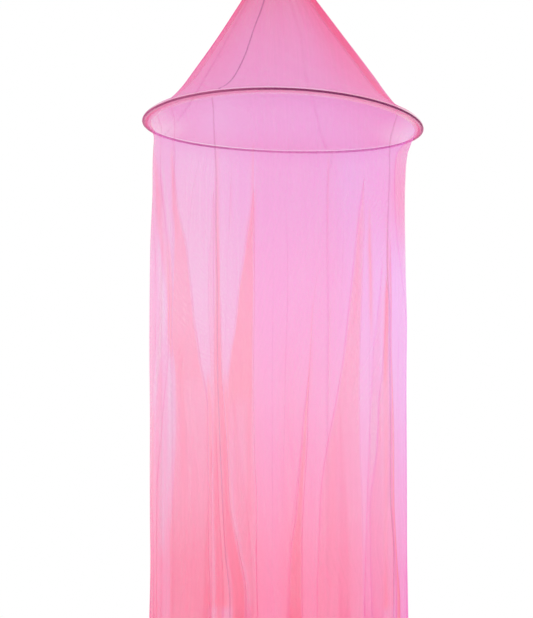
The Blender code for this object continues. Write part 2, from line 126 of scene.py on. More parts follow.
# A flat fold is three layers of net: its side, which is 1 if its outer edge looks to the right and -1 if to the left,
# and its stations: place, azimuth of the outer edge, how far the layers overlap, how much it tells from the plain net
FOLDS = {
    ("cone", "right"): {
        "right_band": (-1, (
            (0.005, 56, 10, 1), (0.05, 52.5, 50, 1), (0.082, 51.5, 60, 1), (0.117, 49.5, 60, 1), (0.157, 48, 55, 1),
            (0.19, 45, 48, 1), (0.26, 43.5, 32, 1), (0.3, 45, 16, 1), (0.33, 50, 0, 1), (0.362, 50, 0, 1))),
    },
    ("cone", "left"): {
        "left_band": (1, (
            (0.005, 300, 0, 0.4), (0.03, 301, 20, 0.4), (0.083, 304, 45, 0.4), (0.15, 306, 40, 0.4),
            (0.22, 305, 35, 0.4), (0.26, 304, 25, 0.4), (0.32, 302, 0, 0.4), (0.362, 302, 0, 0.4))),
    },
    ("curtain", "front"): {
        "seam_fold": (1, (
            (0.34, -24.6, 0, 0.4), (0.4, -24.4, 2, 0.4), (0.54, -24, 5, 0.6), (0.58, -23.2, 8, 0.8),
            (0.64, -22.4, 10, 0.9), (0.7, -21.6, 11, 1), (0.77, -21, 12, 1.1), (0.84, -18.3, 22, 1.2),
            (0.88, -16.7, 26, 1.2), (0.95, -14.3, 29, 1.2), (2.08, -16, 20, 1.2))),
        "middle": (1, (
            (0.15, -10.5, 0, 0.9), (0.18, -10.5, 1.4, 0.9), (0.24, -10.2, 10, 1), (0.31, -10.1, 21, 1),
            (0.38, -10, 33, 1), (0.45, -10.1, 39, 1), (0.5, -10.2, 47, 1), (0.56, -10.2, 53, 1),
            (0.61, -10.3, 53, 0.7), (0.7, -10.1, 49, 0.5), (0.77, -9.3, 48, 0.5), (0.84, -9.5, 36, 0.5),
            (0.88, -9.8, 28, 0.5), (0.95, -9.5, 16, 0.5), (1.2, -7.5, 14, 0.8), (2.08, -6, 30, 1))),
        "thin": (1, (
            (0.33, 15.9, 0, 1), (0.35, 15.7, 1, 1), (0.39, 14.5, 1.6, 1), (0.47, 13.6, 2, 1), (0.54, 12.6, 3, 1),
            (0.58, 12.1, 5, 1), (0.61, 11.8, 8, 0.9), (0.66, 11.5, 11.5, 0.9), (0.76, 9.9, 13, 0.9),
            (0.8, 9.4, 14, 0.9), (0.86, 8.9, 21, 0.9), (0.95, 8.8, 25, 0.9), (2.08, 9, 50, 0.9))),
        "hair": (1, (
            (0.38, 21.7, 0, 0.8), (0.42, 21.6, 2, 0.8), (0.56, 21.4, 2, 0.8), (0.61, 20.5, 1, 0.8),
            (0.64, 19.6, 0, 0.8), (0.68, 17.4, 0, 0.8), (0.77, 13.6, 0, 0.8), (0.95, 12.4, 0, 0.8),
            (2.08, 14.5, 0, 0.8))),
        "broad": (1, (
            (0.14, 38.6, 0, 0.5), (0.18, 38.6, 5, 0.5), (0.24, 39, 17, 0.5), (0.29, 38.2, 22, 0.5),
            (0.39, 36.8, 30, 0.7), (0.49, 36.2, 38, 0.7), (0.58, 35.8, 53, 0.6), (0.68, 35.9, 75, 0.5),
            (0.77, 36.6, 91, 0.4), (0.87, 37, 97, 0.4), (0.95, 37, 100, 0.4), (2.08, 38, 90, 0.8))),
        "late": (1, (
            (0.33, 52, 0, 0.6), (0.37, 53.2, 6, 0.8), (0.42, 54, 10, 0.8), (0.48, 54.6, 18, 0.6),
            (0.54, 55, 28, 0.5), (0.58, 55.1, 37, 0.5), (0.64, 54.9, 41, 0.5), (0.68, 54.8, 44, 0.4),
            (0.73, 54.6, 53, 0.35), (0.77, 54.5, 61, 0.3), (0.82, 56, 70, 0.3), (0.9, 58.5, 80, 0.25),
            (0.95, 58.4, 78, 0.25), (2.08, 57.5, 60, 0.8))),
    },
    ("curtain", "right"): {
        "corner": (1, (
            (0.1, 57, 0, 1.2), (0.16, 57.8, 0, 1.2), (0.2, 57.9, 0, 1.2), (0.28, 57.2, 3, 1.2), (0.36, 57, 8, 1.2),
            (0.44, 57.2, 5, 1.2), (0.5, 57.8, 5, 1.2), (0.56, 58.9, 9, 1.1), (0.66, 60.1, 14, 1),
            (0.78, 59.9, 14, 1), (0.84, 61.4, 12, 1), (0.9, 63.6, 12, 1), (0.98, 66.7, 20, 1),
            (2.08, 67.5, 26, 0.9))),
        "right_side": (1, (
            (0.006, 84, 20, 0.5), (0.05, 84, 66, 0.6), (0.1, 84, 105, 0.5), (0.17, 85, 107, 0.35),
            (0.24, 86, 102, 0.15), (0.3, 90, 104, 0), (0.36, 95, 106, 0), (0.45, 102, 98, 0), (0.6, 104, 83, 0),
            (0.95, 103, 75, 0.2), (2.08, 104, 90, 0.8))),
        "back_a": (-1, (
            (0.25, 118, 0, 0.6), (0.3, 119, 5, 0.6), (0.5, 121, 30, 0.6), (0.95, 121, 55, 0.6),
            (2.08, 121, 75, 0.8))),
        "back_b": (1, (
            (0.55, 147, 0, 0.5), (0.95, 148, 30, 0.5), (2.08, 150, 45, 0.8))),
    },
    ("curtain", "back"): {
        "back_c": (-1, (
            (0.6, 167, 0, 0.5), (0.95, 168, 30, 0.5), (2.08, 168, 65, 0.8))),
        "back_d": (1, (
            (0.5, 202, 0, 0.5), (0.95, 201, 35, 0.5), (2.08, 202, 70, 0.8))),
        "back_e": (-1, (
            (0.62, 214, 0, 0.5), (0.95, 215, 22, 0.5), (2.08, 215, 60, 0.8))),
    },
    ("curtain", "left"): {
        "back_f": (-1, (
            (0.2, 250, 0, 0.5), (0.3, 250, 10, 0.5), (0.5, 250, 30, 0.5), (0.95, 251, 42, 0.5),
            (2.08, 251, 50, 0.8))),
        "left_rim": (1, (
            (0.006, 281, 40, 0.7), (0.1, 281.6, 43, 1), (0.15, 282.5, 45, 0.7), (0.21, 286, 50, 0.3),
            (0.26, 290, 55, 0.1), (0.3, 291.5, 60, 0), (0.38, 292.4, 64, 0.1), (0.48, 292, 60, 0.3),
            (0.55, 289.3, 55, 0.3), (0.65, 285.5, 50, 0.3), (0.77, 281.5, 50, 0.3), (0.95, 279.5, 50, 0.2),
            (2.08, 282, 70, 0.8))),
        "shallow": (1, (
            (0.006, 294, 40, 0.1), (0.08, 294.5, 44, 0.1), (0.14, 294.8, 41, 0.2), (0.18, 297.5, 43, 0.2),
            (0.21, 300.2, 46, 0.1), (0.28, 304, 45, 0), (0.32, 305.6, 25, 0), (0.36, 305.9, 16, 0),
            (0.4, 305.9, 13, 0), (0.44, 305.8, 13, 0), (0.48, 305.5, 25, 0), (0.52, 304.4, 36, 0),
            (0.58, 301.2, 42, 0), (0.65, 298, 40, 0.1), (0.77, 292.5, 36, 0.2), (0.95, 290.5, 34, 0.3),
            (2.08, 295, 40, 0.8))),
        "wedge": (1, (
            (0.006, 307.2, 3, 0), (0.09, 307.6, 8, 0.2), (0.14, 308.3, 7, 0.5), (0.2, 311.5, 12, 0.8),
            (0.28, 317.6, 38, 0.8), (0.38, 321.2, 58, 0.8), (0.43, 322.7, 67, 0.8), (0.48, 324.7, 76, 0.85),
            (0.52, 326.1, 74, 0.85), (0.56, 328.3, 82, 0.7), (0.6, 329.3, 86, 0.6), (0.65, 329.4, 87, 0.6),
            (0.77, 329.3, 98, 0.6), (0.87, 329.4, 111, 0.7), (0.95, 330, 113, 0.7), (2.08, 328, 95, 0.9))),
        "seam_band": (-1, (
            (0.006, 329.5, 0, 0.3), (0.035, 329.1, 0, 0.3), (0.06, 329.8, 0, 0.3), (0.105, 330.6, 0, 0.3),
            (0.16, 331.2, 0, 0.3), (0.2, 331.2, 3.5, 0.3), (0.28, 330.6, 8, 0.35), (0.33, 329.6, 12, 0.35),
            (0.37, 329.4, 14, 0.35), (0.43, 329.8, 13, 0.35), (0.48, 330.5, 10, 0.3), (0.54, 331.2, 8, 0.3),
            (0.61, 331.5, 8, 0.5), (0.77, 331.6, 12, 0.8), (0.95, 332.4, 16, 0.8), (2.08, 331.5, 10, 0.8))),
    },
}
FOLD_SETTLED = 4.0 * MM  # a fold lies flat once its lap is this deep
FOLD_TURN = 0.6  # length of the turn at a fold's edge, as a share of the pitch
FOLD_CLEAR = 0.8 * MM  # past the turn, before the net follows the waves again
FLAT_COLUMN = 0.9 * MM  # between a fold's columns where it hasn't opened yet
COLUMN_PITCH = 3.2 * MM  # the widest step from one column of points to the next
PLAIN_CONTROLS = 3  # between one fold or seam and the next

# Tucks, narrow pressed lines in the near net: cover, and stations of depth, azimuth and width
TUCKS = {
    "a": (0.3, ((0.13, -20.4, 0), (0.18, -20.6, 1.3), (0.26, -20.8, 1), (0.3, -21, 0))),
    "b": (0.3, ((0.11, -36.2, 0), (0.15, -38, 1.2), (0.19, -39.8, 1.4), (0.24, -40, 0))),
    "c": (0.22, ((0.4, 41.4, 0), (0.5, 41.2, 1.6), (0.64, 41, 1.2), (0.72, 41, 0))),
    "d": (0.2, ((0.42, 43.9, 0), (0.5, 43.6, 1.4), (0.58, 43, 1.2), (0.64, 42.6, 0))),
    "e": (0.22, ((0.46, -53.3, 0), (0.56, -52.6, 1.6), (0.7, -51.6, 1.2), (0.84, -52, 0))),
    "f": (0.16, ((0.18, 3, 0), (0.34, 3.4, 1.6), (0.6, 2.2, 1.8), (0.82, 1, 0))),
    "g": (0.14, ((0.3, -2.4, 0), (0.46, -2.6, 1.6), (0.74, -3, 1.6), (0.9, -3.2, 0))),
    "h": (0.18, ((0.22, 28, 0), (0.32, 27.2, 1.4), (0.42, 26, 0))),
}
TUCK_COLOUR = (0.75, 0.16, 0.45)

# How one layer of the curtain's net looks, plain and in a fold: depth, red, green, blue, cover. Its change of colour
# with depth is painted light and shade on one net colour: greyer at the top, where the canopy's inside shades it
PLAIN_LOOKS = (
    (0, 0.84, 0.27, 0.71, 0.49), (0.12, 0.85, 0.28, 0.72, 0.49), (0.2, 0.86, 0.28, 0.71, 0.47),
    (0.35, 0.92, 0.3, 0.71, 0.45), (0.55, 0.94, 0.295, 0.65, 0.445), (0.68, 0.95, 0.275, 0.59, 0.475),
    (0.77, 0.96, 0.265, 0.55, 0.495), (0.87, 0.97, 0.255, 0.5, 0.53), (0.96, 0.97, 0.24, 0.47, 0.585),
    (2.08, 0.97, 0.24, 0.47, 0.585),
)
FOLD_LOOKS = (
    (0, 0.96, 0.22, 0.44, 0.46), (0.2, 0.97, 0.23, 0.42, 0.46), (0.35, 0.98, 0.24, 0.4, 0.46),
    (0.55, 0.98, 0.24, 0.38, 0.48), (0.77, 0.97, 0.22, 0.37, 0.55), (0.96, 0.96, 0.2, 0.34, 0.62),
    (2.08, 0.96, 0.2, 0.34, 0.62),
)

# How one layer of the cone's net looks, in its middle and at its two sides: height, red, green, blue, cover
CONE_PLAIN = (
    (0, 0.8, 0.22, 0.63, 0.55), (0.18, 0.8, 0.2, 0.57, 0.57), (0.27, 0.78, 0.18, 0.46, 0.62),
    (0.362, 0.8, 0.17, 0.42, 0.66),
)
CONE_SIDE = (
    (0, 0.92, 0.15, 0.38, 0.62), (0.18, 0.9, 0.13, 0.34, 0.68), (0.362, 0.9, 0.12, 0.3, 0.74),
)
CONE_FRONT_BLUE = -0.07  # the front of the cone is that much less blue than its back
CONE_RIM = 80.0  # azimuths to both sides where the cone's net lies thickest, in pleats
CONE_RIM_WIDTH = 7.0
CONE_RIM_COLOUR = (0.74, 0.11, 0.36)
CONE_RIM_COVER = 0.07  # added there
CONE_LOW_BACK = (0.35, 0.04)  # share of the sides' colour, and cover added, just over the hoop at the back
CONE_BARE_FOOT = 0.42  # cover taken off just over the hoop at the two sides

# How the curtain's net shows round it, at four depths: azimuth, how much denser, bluer and greyer. Bluer is painted
# cool light and greyer is painted shade; denser adds cover
ZONES = {
    0.03: (
        (-180, 0, 0, 0), (-110, -0.06, -0.02, 0), (-90, -0.12, -0.04, 0), (-70, -0.07, -0.04, 0),
        (-50, -0.07, 0, 0), (-28, -0.13, 0.03, 0), (-12, -0.03, 0, 0), (40, 0.02, 0.02, 0),
        (62, -0.04, 0.02, -0.05), (74, -0.06, 0.06, -0.05), (95, -0.08, 0.06, -0.05), (115, 0, 0, 0),
        (180, 0, 0, 0),
    ),
    0.16: (
        (-180, 0, 0, 0), (-100, -0.04, -0.1, 0), (-84, -0.1, -0.1, 0), (-65, -0.02, -0.06, 0),
        (-54, -0.1, -0.02, 0), (-40, -0.18, -0.02, -0.02), (-28, -0.15, 0, 0), (-18, -0.05, 0, 0),
        (-10, -0.03, 0, 0), (-9, 0.02, -0.03, 0), (22, 0.04, 0, 0), (30, -0.01, 0.08, 0), (40, -0.02, 0.03, -0.08),
        (54, -0.02, 0, -0.12), (62, 0.03, -0.08, -0.12), (72, 0.03, -0.12, -0.1), (88, -0.02, -0.08, -0.06),
        (100, 0.02, -0.06, 0), (180, 0, 0, 0),
    ),
    0.36: (
        (-180, 0, 0, 0), (-100, -0.08, 0, 0), (-84, -0.1, -0.04, 0), (-70, -0.02, -0.06, 0), (-58, -0.08, 0, 0.05),
        (-45, -0.13, 0, 0.1), (-27, -0.12, 0, 0.1), (-20, -0.07, 0, 0.1), (-10.6, -0.04, 0, 0.06),
        (-9.8, 0.08, -0.03, 0), (4, 0.08, -0.02, 0), (20, 0.08, -0.03, 0), (30, 0.05, 0.04, 0), (37, 0, 0.1, 0),
        (48, 0, 0.14, -0.02), (54, 0, 0.1, -0.03), (60, -0.02, 0.18, -0.04), (72, -0.02, 0.16, -0.04),
        (88, -0.1, 0.18, -0.04), (100, -0.06, 0.16, 0), (180, 0, 0, 0),
    ),
    0.6: (
        (-180, 0, 0, 0), (-100, -0.02, 0, 0), (-84, -0.1, 0.02, 0), (-70, -0.08, 0.02, 0), (-58, 0.01, -0.01, 0.05),
        (-45, -0.02, -0.05, 0.08), (-36, -0.02, -0.06, 0.08), (-27, -0.07, -0.02, 0.1), (-20, -0.06, -0.01, 0.1),
        (-10.6, -0.04, -0.02, 0.06), (-9.8, 0.08, -0.03, 0), (-3, 0.08, -0.01, 0), (4, 0.1, -0.05, 0),
        (9, 0.08, -0.03, 0), (20, 0.08, 0, 0), (30, 0.05, 0.04, 0), (37, 0, 0.1, 0), (48, 0, 0.14, 0),
        (54, 0.01, 0.1, 0), (60, 0, 0.18, 0), (72, 0.03, 0.24, -0.03), (88, -0.04, 0.22, -0.03),
        (100, -0.06, 0.16, 0), (180, 0, 0, 0),
    ),
}

# Soft upright bands in the near net, partly where it lies in shallow folds or stands off the rest and partly
# painted light and shade of soft folds: depth, azimuth, half width, and how much it tells: above nothing a fold's
# look, below nothing paler than the plain net
SHADES = {
    "seam_dark": (
        (0.105, -27.3, 4.2, 0.1), (0.251, -26.1, 4.2, 0.6), (0.323, -25.9, 4.2, 1.1), (0.396, -25.8, 4.2, 1.3),
        (0.463, -25.5, 4.6, 1.3), (0.52, -25, 5, 1.3), (0.563, -24.7, 5.8, 1.3), (0.605, -24.5, 6.6, 1.2),
        (0.662, -24.4, 8.3, 1.2), (0.718, -24.2, 10.8, 1.1), (0.793, -24.1, 12.4, 1.1), (0.867, -24.1, 14.5, 1),
        (0.973, -23.8, 15.5, 1)),
    "strip_left": (
        (0.067, -55.2, 6, 0), (0.105, -54.1, 6.4, 0.6), (0.159, -53, 6.9, 1), (0.207, -51.4, 7.3, 1),
        (0.242, -49.7, 7, 0.6), (0.282, -48.8, 5.7, 0)),
    "wedge_left": (
        (0.238, -55.6, 5, 0), (0.279, -54.9, 9.8, 0.6), (0.349, -54, 10.3, 1), (0.389, -53.7, 9.6, 1.5),
        (0.429, -53.6, 8.6, 1.5), (0.478, -53.2, 7.9, 1.1), (0.523, -52.5, 6.2, 0.4), (0.557, -51.8, 4.6, 0)),
    "pale_left_high": (
        (0.233, -65.6, 6.9, 0), (0.284, -64, 7.8, -0.6), (0.346, -61.9, 12, -0.9), (0.403, -60.8, 13.9, -1),
        (0.456, -62.5, 13.1, -1), (0.502, -64.7, 10.2, -0.9), (0.566, -67.7, 6.9, -0.6), (0.6, -69.4, 5.4, 0)),
    "pale_left_low": (
        (0.464, -54, 3.2, 0), (0.507, -53.5, 7, -0.6), (0.557, -53.3, 11.4, -0.9), (0.605, -52.8, 15, -0.9),
        (0.664, -53.4, 16.4, -0.8), (0.723, -55, 15.8, -0.6), (0.791, -57.3, 15.4, -0.4),
        (0.851, -60.5, 15.3, -0.2), (0.921, -63.1, 16.7, 0)),
    "between_left": (
        (0.496, -61.8, 8, 0), (0.542, -62.1, 8.1, 0.3), (0.596, -62.9, 9.1, 0.2), (0.646, -64.8, 10.6, 0)),
    "left_streak": (
        (0.45, -46.1, 8.2, 0), (0.489, -45.7, 9.5, 0.4), (0.586, -44.6, 10.1, 0.6), (0.663, -43.9, 10.5, 0.6),
        (0.759, -44.1, 10.5, 0.3), (0.854, -44.3, 10.6, 0)),
    "line_by_seam": (
        (0.462, -29.6, 2, 0), (0.491, -29, 1.9, 0.5), (0.586, -28.7, 1.9, 0.5), (0.681, -28.8, 2.2, 0.4),
        (0.737, -28.9, 2.2, 0)),
    "over_middle": (
        (0.096, -11.1, 2.9, 0.3), (0.148, -10.9, 4.6, 0.7), (0.235, -10.6, 4.6, 0.7), (0.293, -10.7, 3.8, 0)),
    "crease_left": (
        (0.15, -20.7, 2, 0), (0.204, -20.3, 2, 0.4), (0.291, -20, 2, 0)),
    "thin_early": (
        (0.378, 13.7, 1.9, 0), (0.454, 13.6, 2.7, 0.5), (0.554, 13.1, 2.7, 0.3), (0.624, 12.2, 2.3, 0)),
    "far_fold": (
        (0.123, 20.7, 2.6, 0.3), (0.204, 20.9, 2.6, 0.3), (0.282, 20.6, 3, 0.15), (0.364, 20.3, 3, 0)),
    "centre_streak": (
        (0.624, 23.5, 6.2, 0), (0.68, 22.7, 8.2, 0.3), (0.774, 22.3, 9.2, 0.4), (0.886, 22.1, 9.2, 0.2),
        (0.96, 22, 8.1, 0)),
    "pale_late": (
        (0.547, 43.8, 6.5, 0), (0.605, 43.6, 9.1, -0.5), (0.682, 43.1, 7.8, -0.5), (0.73, 42.1, 5.1, 0)),
    "corner_high": (
        (0.219, 54.2, 4.8, 0.2), (0.289, 54.3, 6.5, 0.6), (0.369, 52.8, 7.5, 0.9), (0.449, 52.3, 7.4, 0.8),
        (0.527, 51.8, 7.3, 0.5), (0.586, 50.9, 7.2, 0)),
    "right_edge": (
        (0.576, 56.7, 6.2, 0), (0.625, 56.5, 6.2, 0.5), (0.742, 56.1, 6.8, 0.5), (0.84, 57.6, 8.5, 0.6),
        (0.919, 59.4, 11.1, 0.5), (0.989, 58.1, 14.3, 0.4)),
    "crease_right": (
        (0.186, 41.9, 2.5, 0), (0.226, 41.9, 3.8, 0.4), (0.304, 41.6, 5.6, 0.9), (0.392, 41.7, 5.6, 0.8),
        (0.46, 42.5, 4.1, 0.3), (0.499, 43, 3.1, 0)),
    "crease_beside": (
        (0.199, 35.6, 3.7, 0), (0.258, 35.4, 5.1, 0.5), (0.336, 34.3, 5.5, 0.5), (0.414, 33.4, 5.4, 0.3),
        (0.491, 32.8, 5.4, 0)),
    "seam_wide": (
        (0.519, -30.2, 4.4, 0), (0.563, -30.1, 5.7, 0.9), (0.605, -29.9, 6.5, 1.2), (0.681, -29.9, 7, 1),
        (0.775, -30.1, 7.4, 0.8), (0.85, -30.4, 7.9, 0.7), (0.916, -30.8, 8.3, 0.6), (0.975, -30.8, 8.8, 0.8)),
    "seam_left": (
        (0.376, -26.8, 3.2, 0), (0.453, -26.9, 3.8, 0.3), (0.548, -27, 4.2, 0.3), (0.624, -26.9, 5.1, 0.6),
        (0.699, -26.7, 5.9, 0.9), (0.793, -26.7, 6.3, 0.9), (0.887, -26.9, 6.3, 0.4), (0.974, -27, 6.4, 0.6)),
    "seam_right": (
        (0.514, -22.1, 5.1, 0), (0.558, -22.1, 6.1, 0.7), (0.596, -22.1, 6.5, 1.2), (0.643, -22.1, 6.9, 1.2),
        (0.699, -21.9, 7.3, 0.9), (0.774, -21.2, 8.1, 0.6), (0.848, -20, 9, 0.4), (0.913, -18.4, 9.9, 0.5),
        (0.971, -17.6, 10.9, 0.7)),
    "light_strip": (
        (0.083, -66.2, 6.6, 0), (0.126, -63, 7.5, -0.6), (0.19, -58.4, 7.2, -0.6), (0.253, -54.3, 6.1, -0.6),
        (0.3, -52.6, 4.7, -0.3), (0.334, -51.6, 4.6, 0)),
    "rim_salmon": (
        (0.07, -75.8, 14, 0.2), (0.115, -71.8, 17.3, 0.7), (0.18, -67.2, 20.4, 0.8), (0.244, -62.9, 19, 0.7),
        (0.297, -59.8, 15.8, 0.6), (0.348, -57.7, 11.3, 0.4), (0.398, -56.2, 8.1, 0)),
    "seam_high": (
        (0.085, -27.7, 5.3, 0), (0.12, -27.3, 5.3, 0.4), (0.396, -26.3, 5.3, 0.6), (0.548, -26.3, 5.3, 0.9),
        (0.624, -26.4, 5.3, 0.5), (0.718, -26.5, 5.3, 0.3), (0.775, -26.6, 5.3, 0)),
    "edge_left": (
        (0.586, -71.9, 10.8, 0), (0.626, -72.2, 10.8, 0.8), (0.787, -73.2, 10.8, 0.7), (0.847, -73.9, 10.8, 0)),
    "pale_edge": (
        (0.586, -61.6, 9.9, 0), (0.645, -61.8, 10, -0.6), (0.803, -62.3, 10.2, -0.8), (0.872, -62.8, 10.3, -0.4),
        (0.901, -63, 10.4, 0)),
    "beside_middle": (
        (0.216, -12.1, 5.8, 0), (0.273, -11.9, 7.7, 0.7), (0.325, -12.1, 7.7, 0.5), (0.382, -12.2, 5.8, 0.1),
        (0.567, -12.2, 5.8, 0.1), (0.624, -12.4, 7.7, 0.6), (0.698, -12.5, 7.7, 0.6), (0.782, -12.6, 7.7, 0.6),
        (0.865, -12.8, 5.8, 0.2), (0.939, -12.9, 5.8, 0)),
    "strip_right": (
        (0.35, 52.4, 9.3, 0), (0.39, 51.7, 10.4, 0.5), (0.468, 51.8, 10.4, 0.6), (0.586, 51.6, 10.3, 0.4),
        (0.703, 51.3, 10.2, 0.6), (0.857, 50.8, 10.8, 0.5), (0.985, 50.9, 11.4, 0.8)),
}
SHADE_COVER = 0.10  # more or less cover in such a band
MOST_COVER = 0.97  # of any layer
# What a zone paints: bluer as painted cool light, greyer as painted shade with the grey net
BLUER = (-0.3, 0.2, 1.0)  # what a zone's bluer adds to red, green and blue
GREYER = 3.0  # share of the grey net's colour for a zone's greyer
# Paler net for the lighter soft bands, partly thinner net and partly painted light
PALE_NET = (0.76, 0.40, 0.68)
GREY_NET = (0.70, 0.36, 0.60)
# A fold's turn is darker: partly the denser net where it turns, partly painted shade against the light it catches
EDGE_COLOUR = (0.90, 0.18, 0.40)
DEEP_TINT_COVER = 0.1  # added where a fold tells more than in full
HIDDEN_COVER = 0.10  # share of a fold's two hidden layers that tells, as the photo's light bleaches them
HIDDEN_CONE_COVER = 0.3  # the same in the cone
LIGHT_WASH_DOWN_TO = 1.0  # depth from which the hidden layers begin to tell in full
LIGHT_WASH_OVER = 0.2
TOP_COVER = 0.08  # added just under the hoop
TOP_COVER_DOWN_TO = 0.05
EDGE_COVER = 0.03  # more cover in the turn at a fold's edge
EDGE_SHARE = 0.6  # of the edge colour in the turn
EDGE_LEAST = 0.3  # of an edge's look, however little its fold tells
BACK_EDGE = 0.6  # how much a fold's rear edge tells beside its front edge
STEEPEST = 2.5  # slope of the view past a fold's edge, at most
EDGE_SOFT = 5.0 * MM  # over which a fold's look sets in from its edges
EDGE_WIDTH = 1.0 * MM
EDGE_NEAR = 0.7 * MM  # from a fold's edge to where its under layers are quite hidden

# How each line of stitches and turned edges shows
SeamLook = namedtuple("SeamLook", "colour cover width")
SEAM_LOOKS = {
    "cone_front_left": SeamLook((0.3, 0.07, 0.26), 0.46, 4.5),
    "cone_front_right": SeamLook((0.75, 0.12, 0.4), 0.26, 6.5),
    "cone_back_right": SeamLook((0.72, 0.15, 0.42), 0.28, 7),
    "cone_back_left": SeamLook((0.46, 0.1, 0.32), 0.48, 7),
    "curtain_front_left": SeamLook((0.56, 0.17, 0.4), 0.34, 4.4),
    "curtain_front_right": SeamLook((0.52, 0.14, 0.36), 0.3, 7),
    "curtain_back_right": SeamLook((0.55, 0.16, 0.38), 0.26, 6.5),
    "curtain_back_left": SeamLook((0.55, 0.16, 0.38), 0.26, 6.5),
}
RIBBON_SHARES = (-1.0, -0.5, 0.0, 0.5, 1.0)  # of a ribbon's half width, for its columns
SEAM_PROUD = 0.25 * MM  # how far a ribbon's crown stands off the net
TUCK_PROUD = 0.8 * MM
TUCK_STEP = 12.0 * MM
TUCK_THINNEST = 0.1 * MM

ROD_RADIUS = 2.0 * MM  # a little thinner than in the solids, as it shows in the photo
ROD_SIDES = 14
ROD_STEPS = 288
# Casing: out from the rod's middle, up, cover of the net there, and which part of it that is: on the rod's outer or
# inner side, or in the flap that closes over the curtain's top, of which the root is next to the rod
CASING = (
    (-15, -4.9, 0.22, "flap"), (-11, -3.9, 0.22, "flap"), (-7, -2.4, 0.46, "root"), (-3.6, -1.2, 0.55, "inside"),
    (-2.8, 0.3, 0.72, "inside"), (-2, 1.9, 0.72, "inside"), (-0.6, 2.8, 0.6, "inside"), (1, 2.8, 0.8, "outside"),
    (2.2, 2.1, 0.9, "outside"), (2.8, 0.9, 1, "outside"), (2.9, -0.5, 1, "outside"), (2.4, -1.8, 1, "outside"),
    (1.3, -2.8, 1.3, "outside"), (-0.5, -3.2, 0.72, "inside"), (-5, -4, 0.46, "root"), (-10, -4.9, 0.3, "flap"),
    (-15, -5.4, 0.28, "flap"),
)
CASING_STEPS = 720
# The inside's lighter colour is painted light, making up for the shade that falls inside the casing round the rod
CASING_COLOURS = {
    "outside": (0.93, 0.25, 0.52),
    "inside": (0.97, 0.46, 0.68),
    "flap": (0.90, 0.27, 0.60),
    "root": (0.95, 0.26, 0.50),
}
# How much of the rod its casing veils from outside, and how much the flap shows: azimuth, veil, flap
VEILS = (
    (-180, 0.35, 1.2), (-110, 0.45, 0.9), (-90, 0.66, 1.9), (-70, 0.6, 1.5), (-40, 0.54, 1), (-15, 0.32, 1),
    (2, 0.16, 0.8), (55, 0.12, 0.7), (75, 0.3, 1.5), (92, 0.6, 1.9), (110, 0.36, 0.9), (150, 0.35, 1.4),
    (180, 0.35, 1.3),
)

CAP_STEPS = 272
CAP_TOP = -LOOP_HEIGHT - 1.2 * MM
CAP_HOLE = 1.5 * MM
CAP_GATHERS = 34
CAP_STITCHES = 44  # in one of its two rows
LOOP_STEPS = 72
STITCH_DROPS = (4.5 * MM, 19.0 * MM)  # of the two rows, from the cap's top
STITCH_ENDS = (0.18, 0.82)  # of the pitch
THREAD_RADIUS = 0.28 * MM
THREAD_SIDES = 6
MESH_PER_METRE = 620.0

# Flat sizes of the cut cloth: width at its widest, length, and area
Cut = namedtuple("Cut", "width length area")

# Camera, light and floor
CAMERA_PLACE = (-0.0232, -2.6, -1.0035)
CAMERA_PITCH = math.radians(4.339)
CAMERA_LENS = 72.25
FLOOR_HEIGHT = -2.52
FLOOR_RADIUS = 4.6
FLOOR_STEPS = 96
AreaLight = namedtuple("AreaLight", "name place target size power colour")
LIGHTS = (
    AreaLight("key", (-2.4, -2.6, 1.6), (0.0, 0.0, -0.9), 2.2, 22.0, (1.0, 0.98, 0.97)),
    AreaLight("fill", (2.8, -1.8, 0.4), (0.0, 0.0, -1.0), 2.6, 12.0, (0.97, 0.97, 1.0)),
    AreaLight("back", (0.6, 3.0, 0.9), (0.0, 0.0, -1.0), 2.6, 14.0, (1.0, 0.98, 1.0)),
)


# ------------------------------------------------------------------- helpers


def smoothstep(value):
    value = min(1.0, max(0.0, value))
    return value * value * (3.0 - 2.0 * value)


def mix(first, second, share):
    return tuple(a + share * (b - a) for a, b in zip(first, second))


def half_turned(azimuth):
    """The azimuth as a number from -180 to 180."""
    return (azimuth + 180.0) % 360.0 - 180.0


class Track:
    """A smooth line through stations (place, value) that never swings past them."""

    def __init__(self, stations):
        self.places = [float(station[0]) for station in stations]
        self.values = [float(station[1]) for station in stations]
        steps = list(zip(self.places, self.values))
        rises = [(b[1] - a[1]) / (b[0] - a[0]) for a, b in zip(steps, steps[1:])]
        self.slopes = [0.0] * len(steps)
        for k in range(1, len(rises)):
            if rises[k - 1] * rises[k] > 0.0:
                self.slopes[k] = 2.0 * rises[k - 1] * rises[k] / (rises[k - 1] + rises[k])

    def at(self, place):
        if place <= self.places[0]:
            return self.values[0]
        if place >= self.places[-1]:
            return self.values[-1]
        k = bisect_right(self.places, place)
        width = self.places[k] - self.places[k - 1]
        t = (place - self.places[k - 1]) / width
        low, high = self.values[k - 1], self.values[k]
        bend = t * t * (3.0 - 2.0 * t)
        start = t * (1.0 - t) * (1.0 - t) * width * self.slopes[k - 1]
        end = t * t * (1.0 - t) * width * self.slopes[k]
        return low + bend * (high - low) + start - end


def tracks_of(rows, **scales):
    """A track for each column of a table after its first, by name. Its values are times the scale given for it."""
    columns = enumerate(scales.items(), 1)
    return {name: Track([(row[0], row[k] * scale) for row in rows]) for k, (name, scale) in columns}


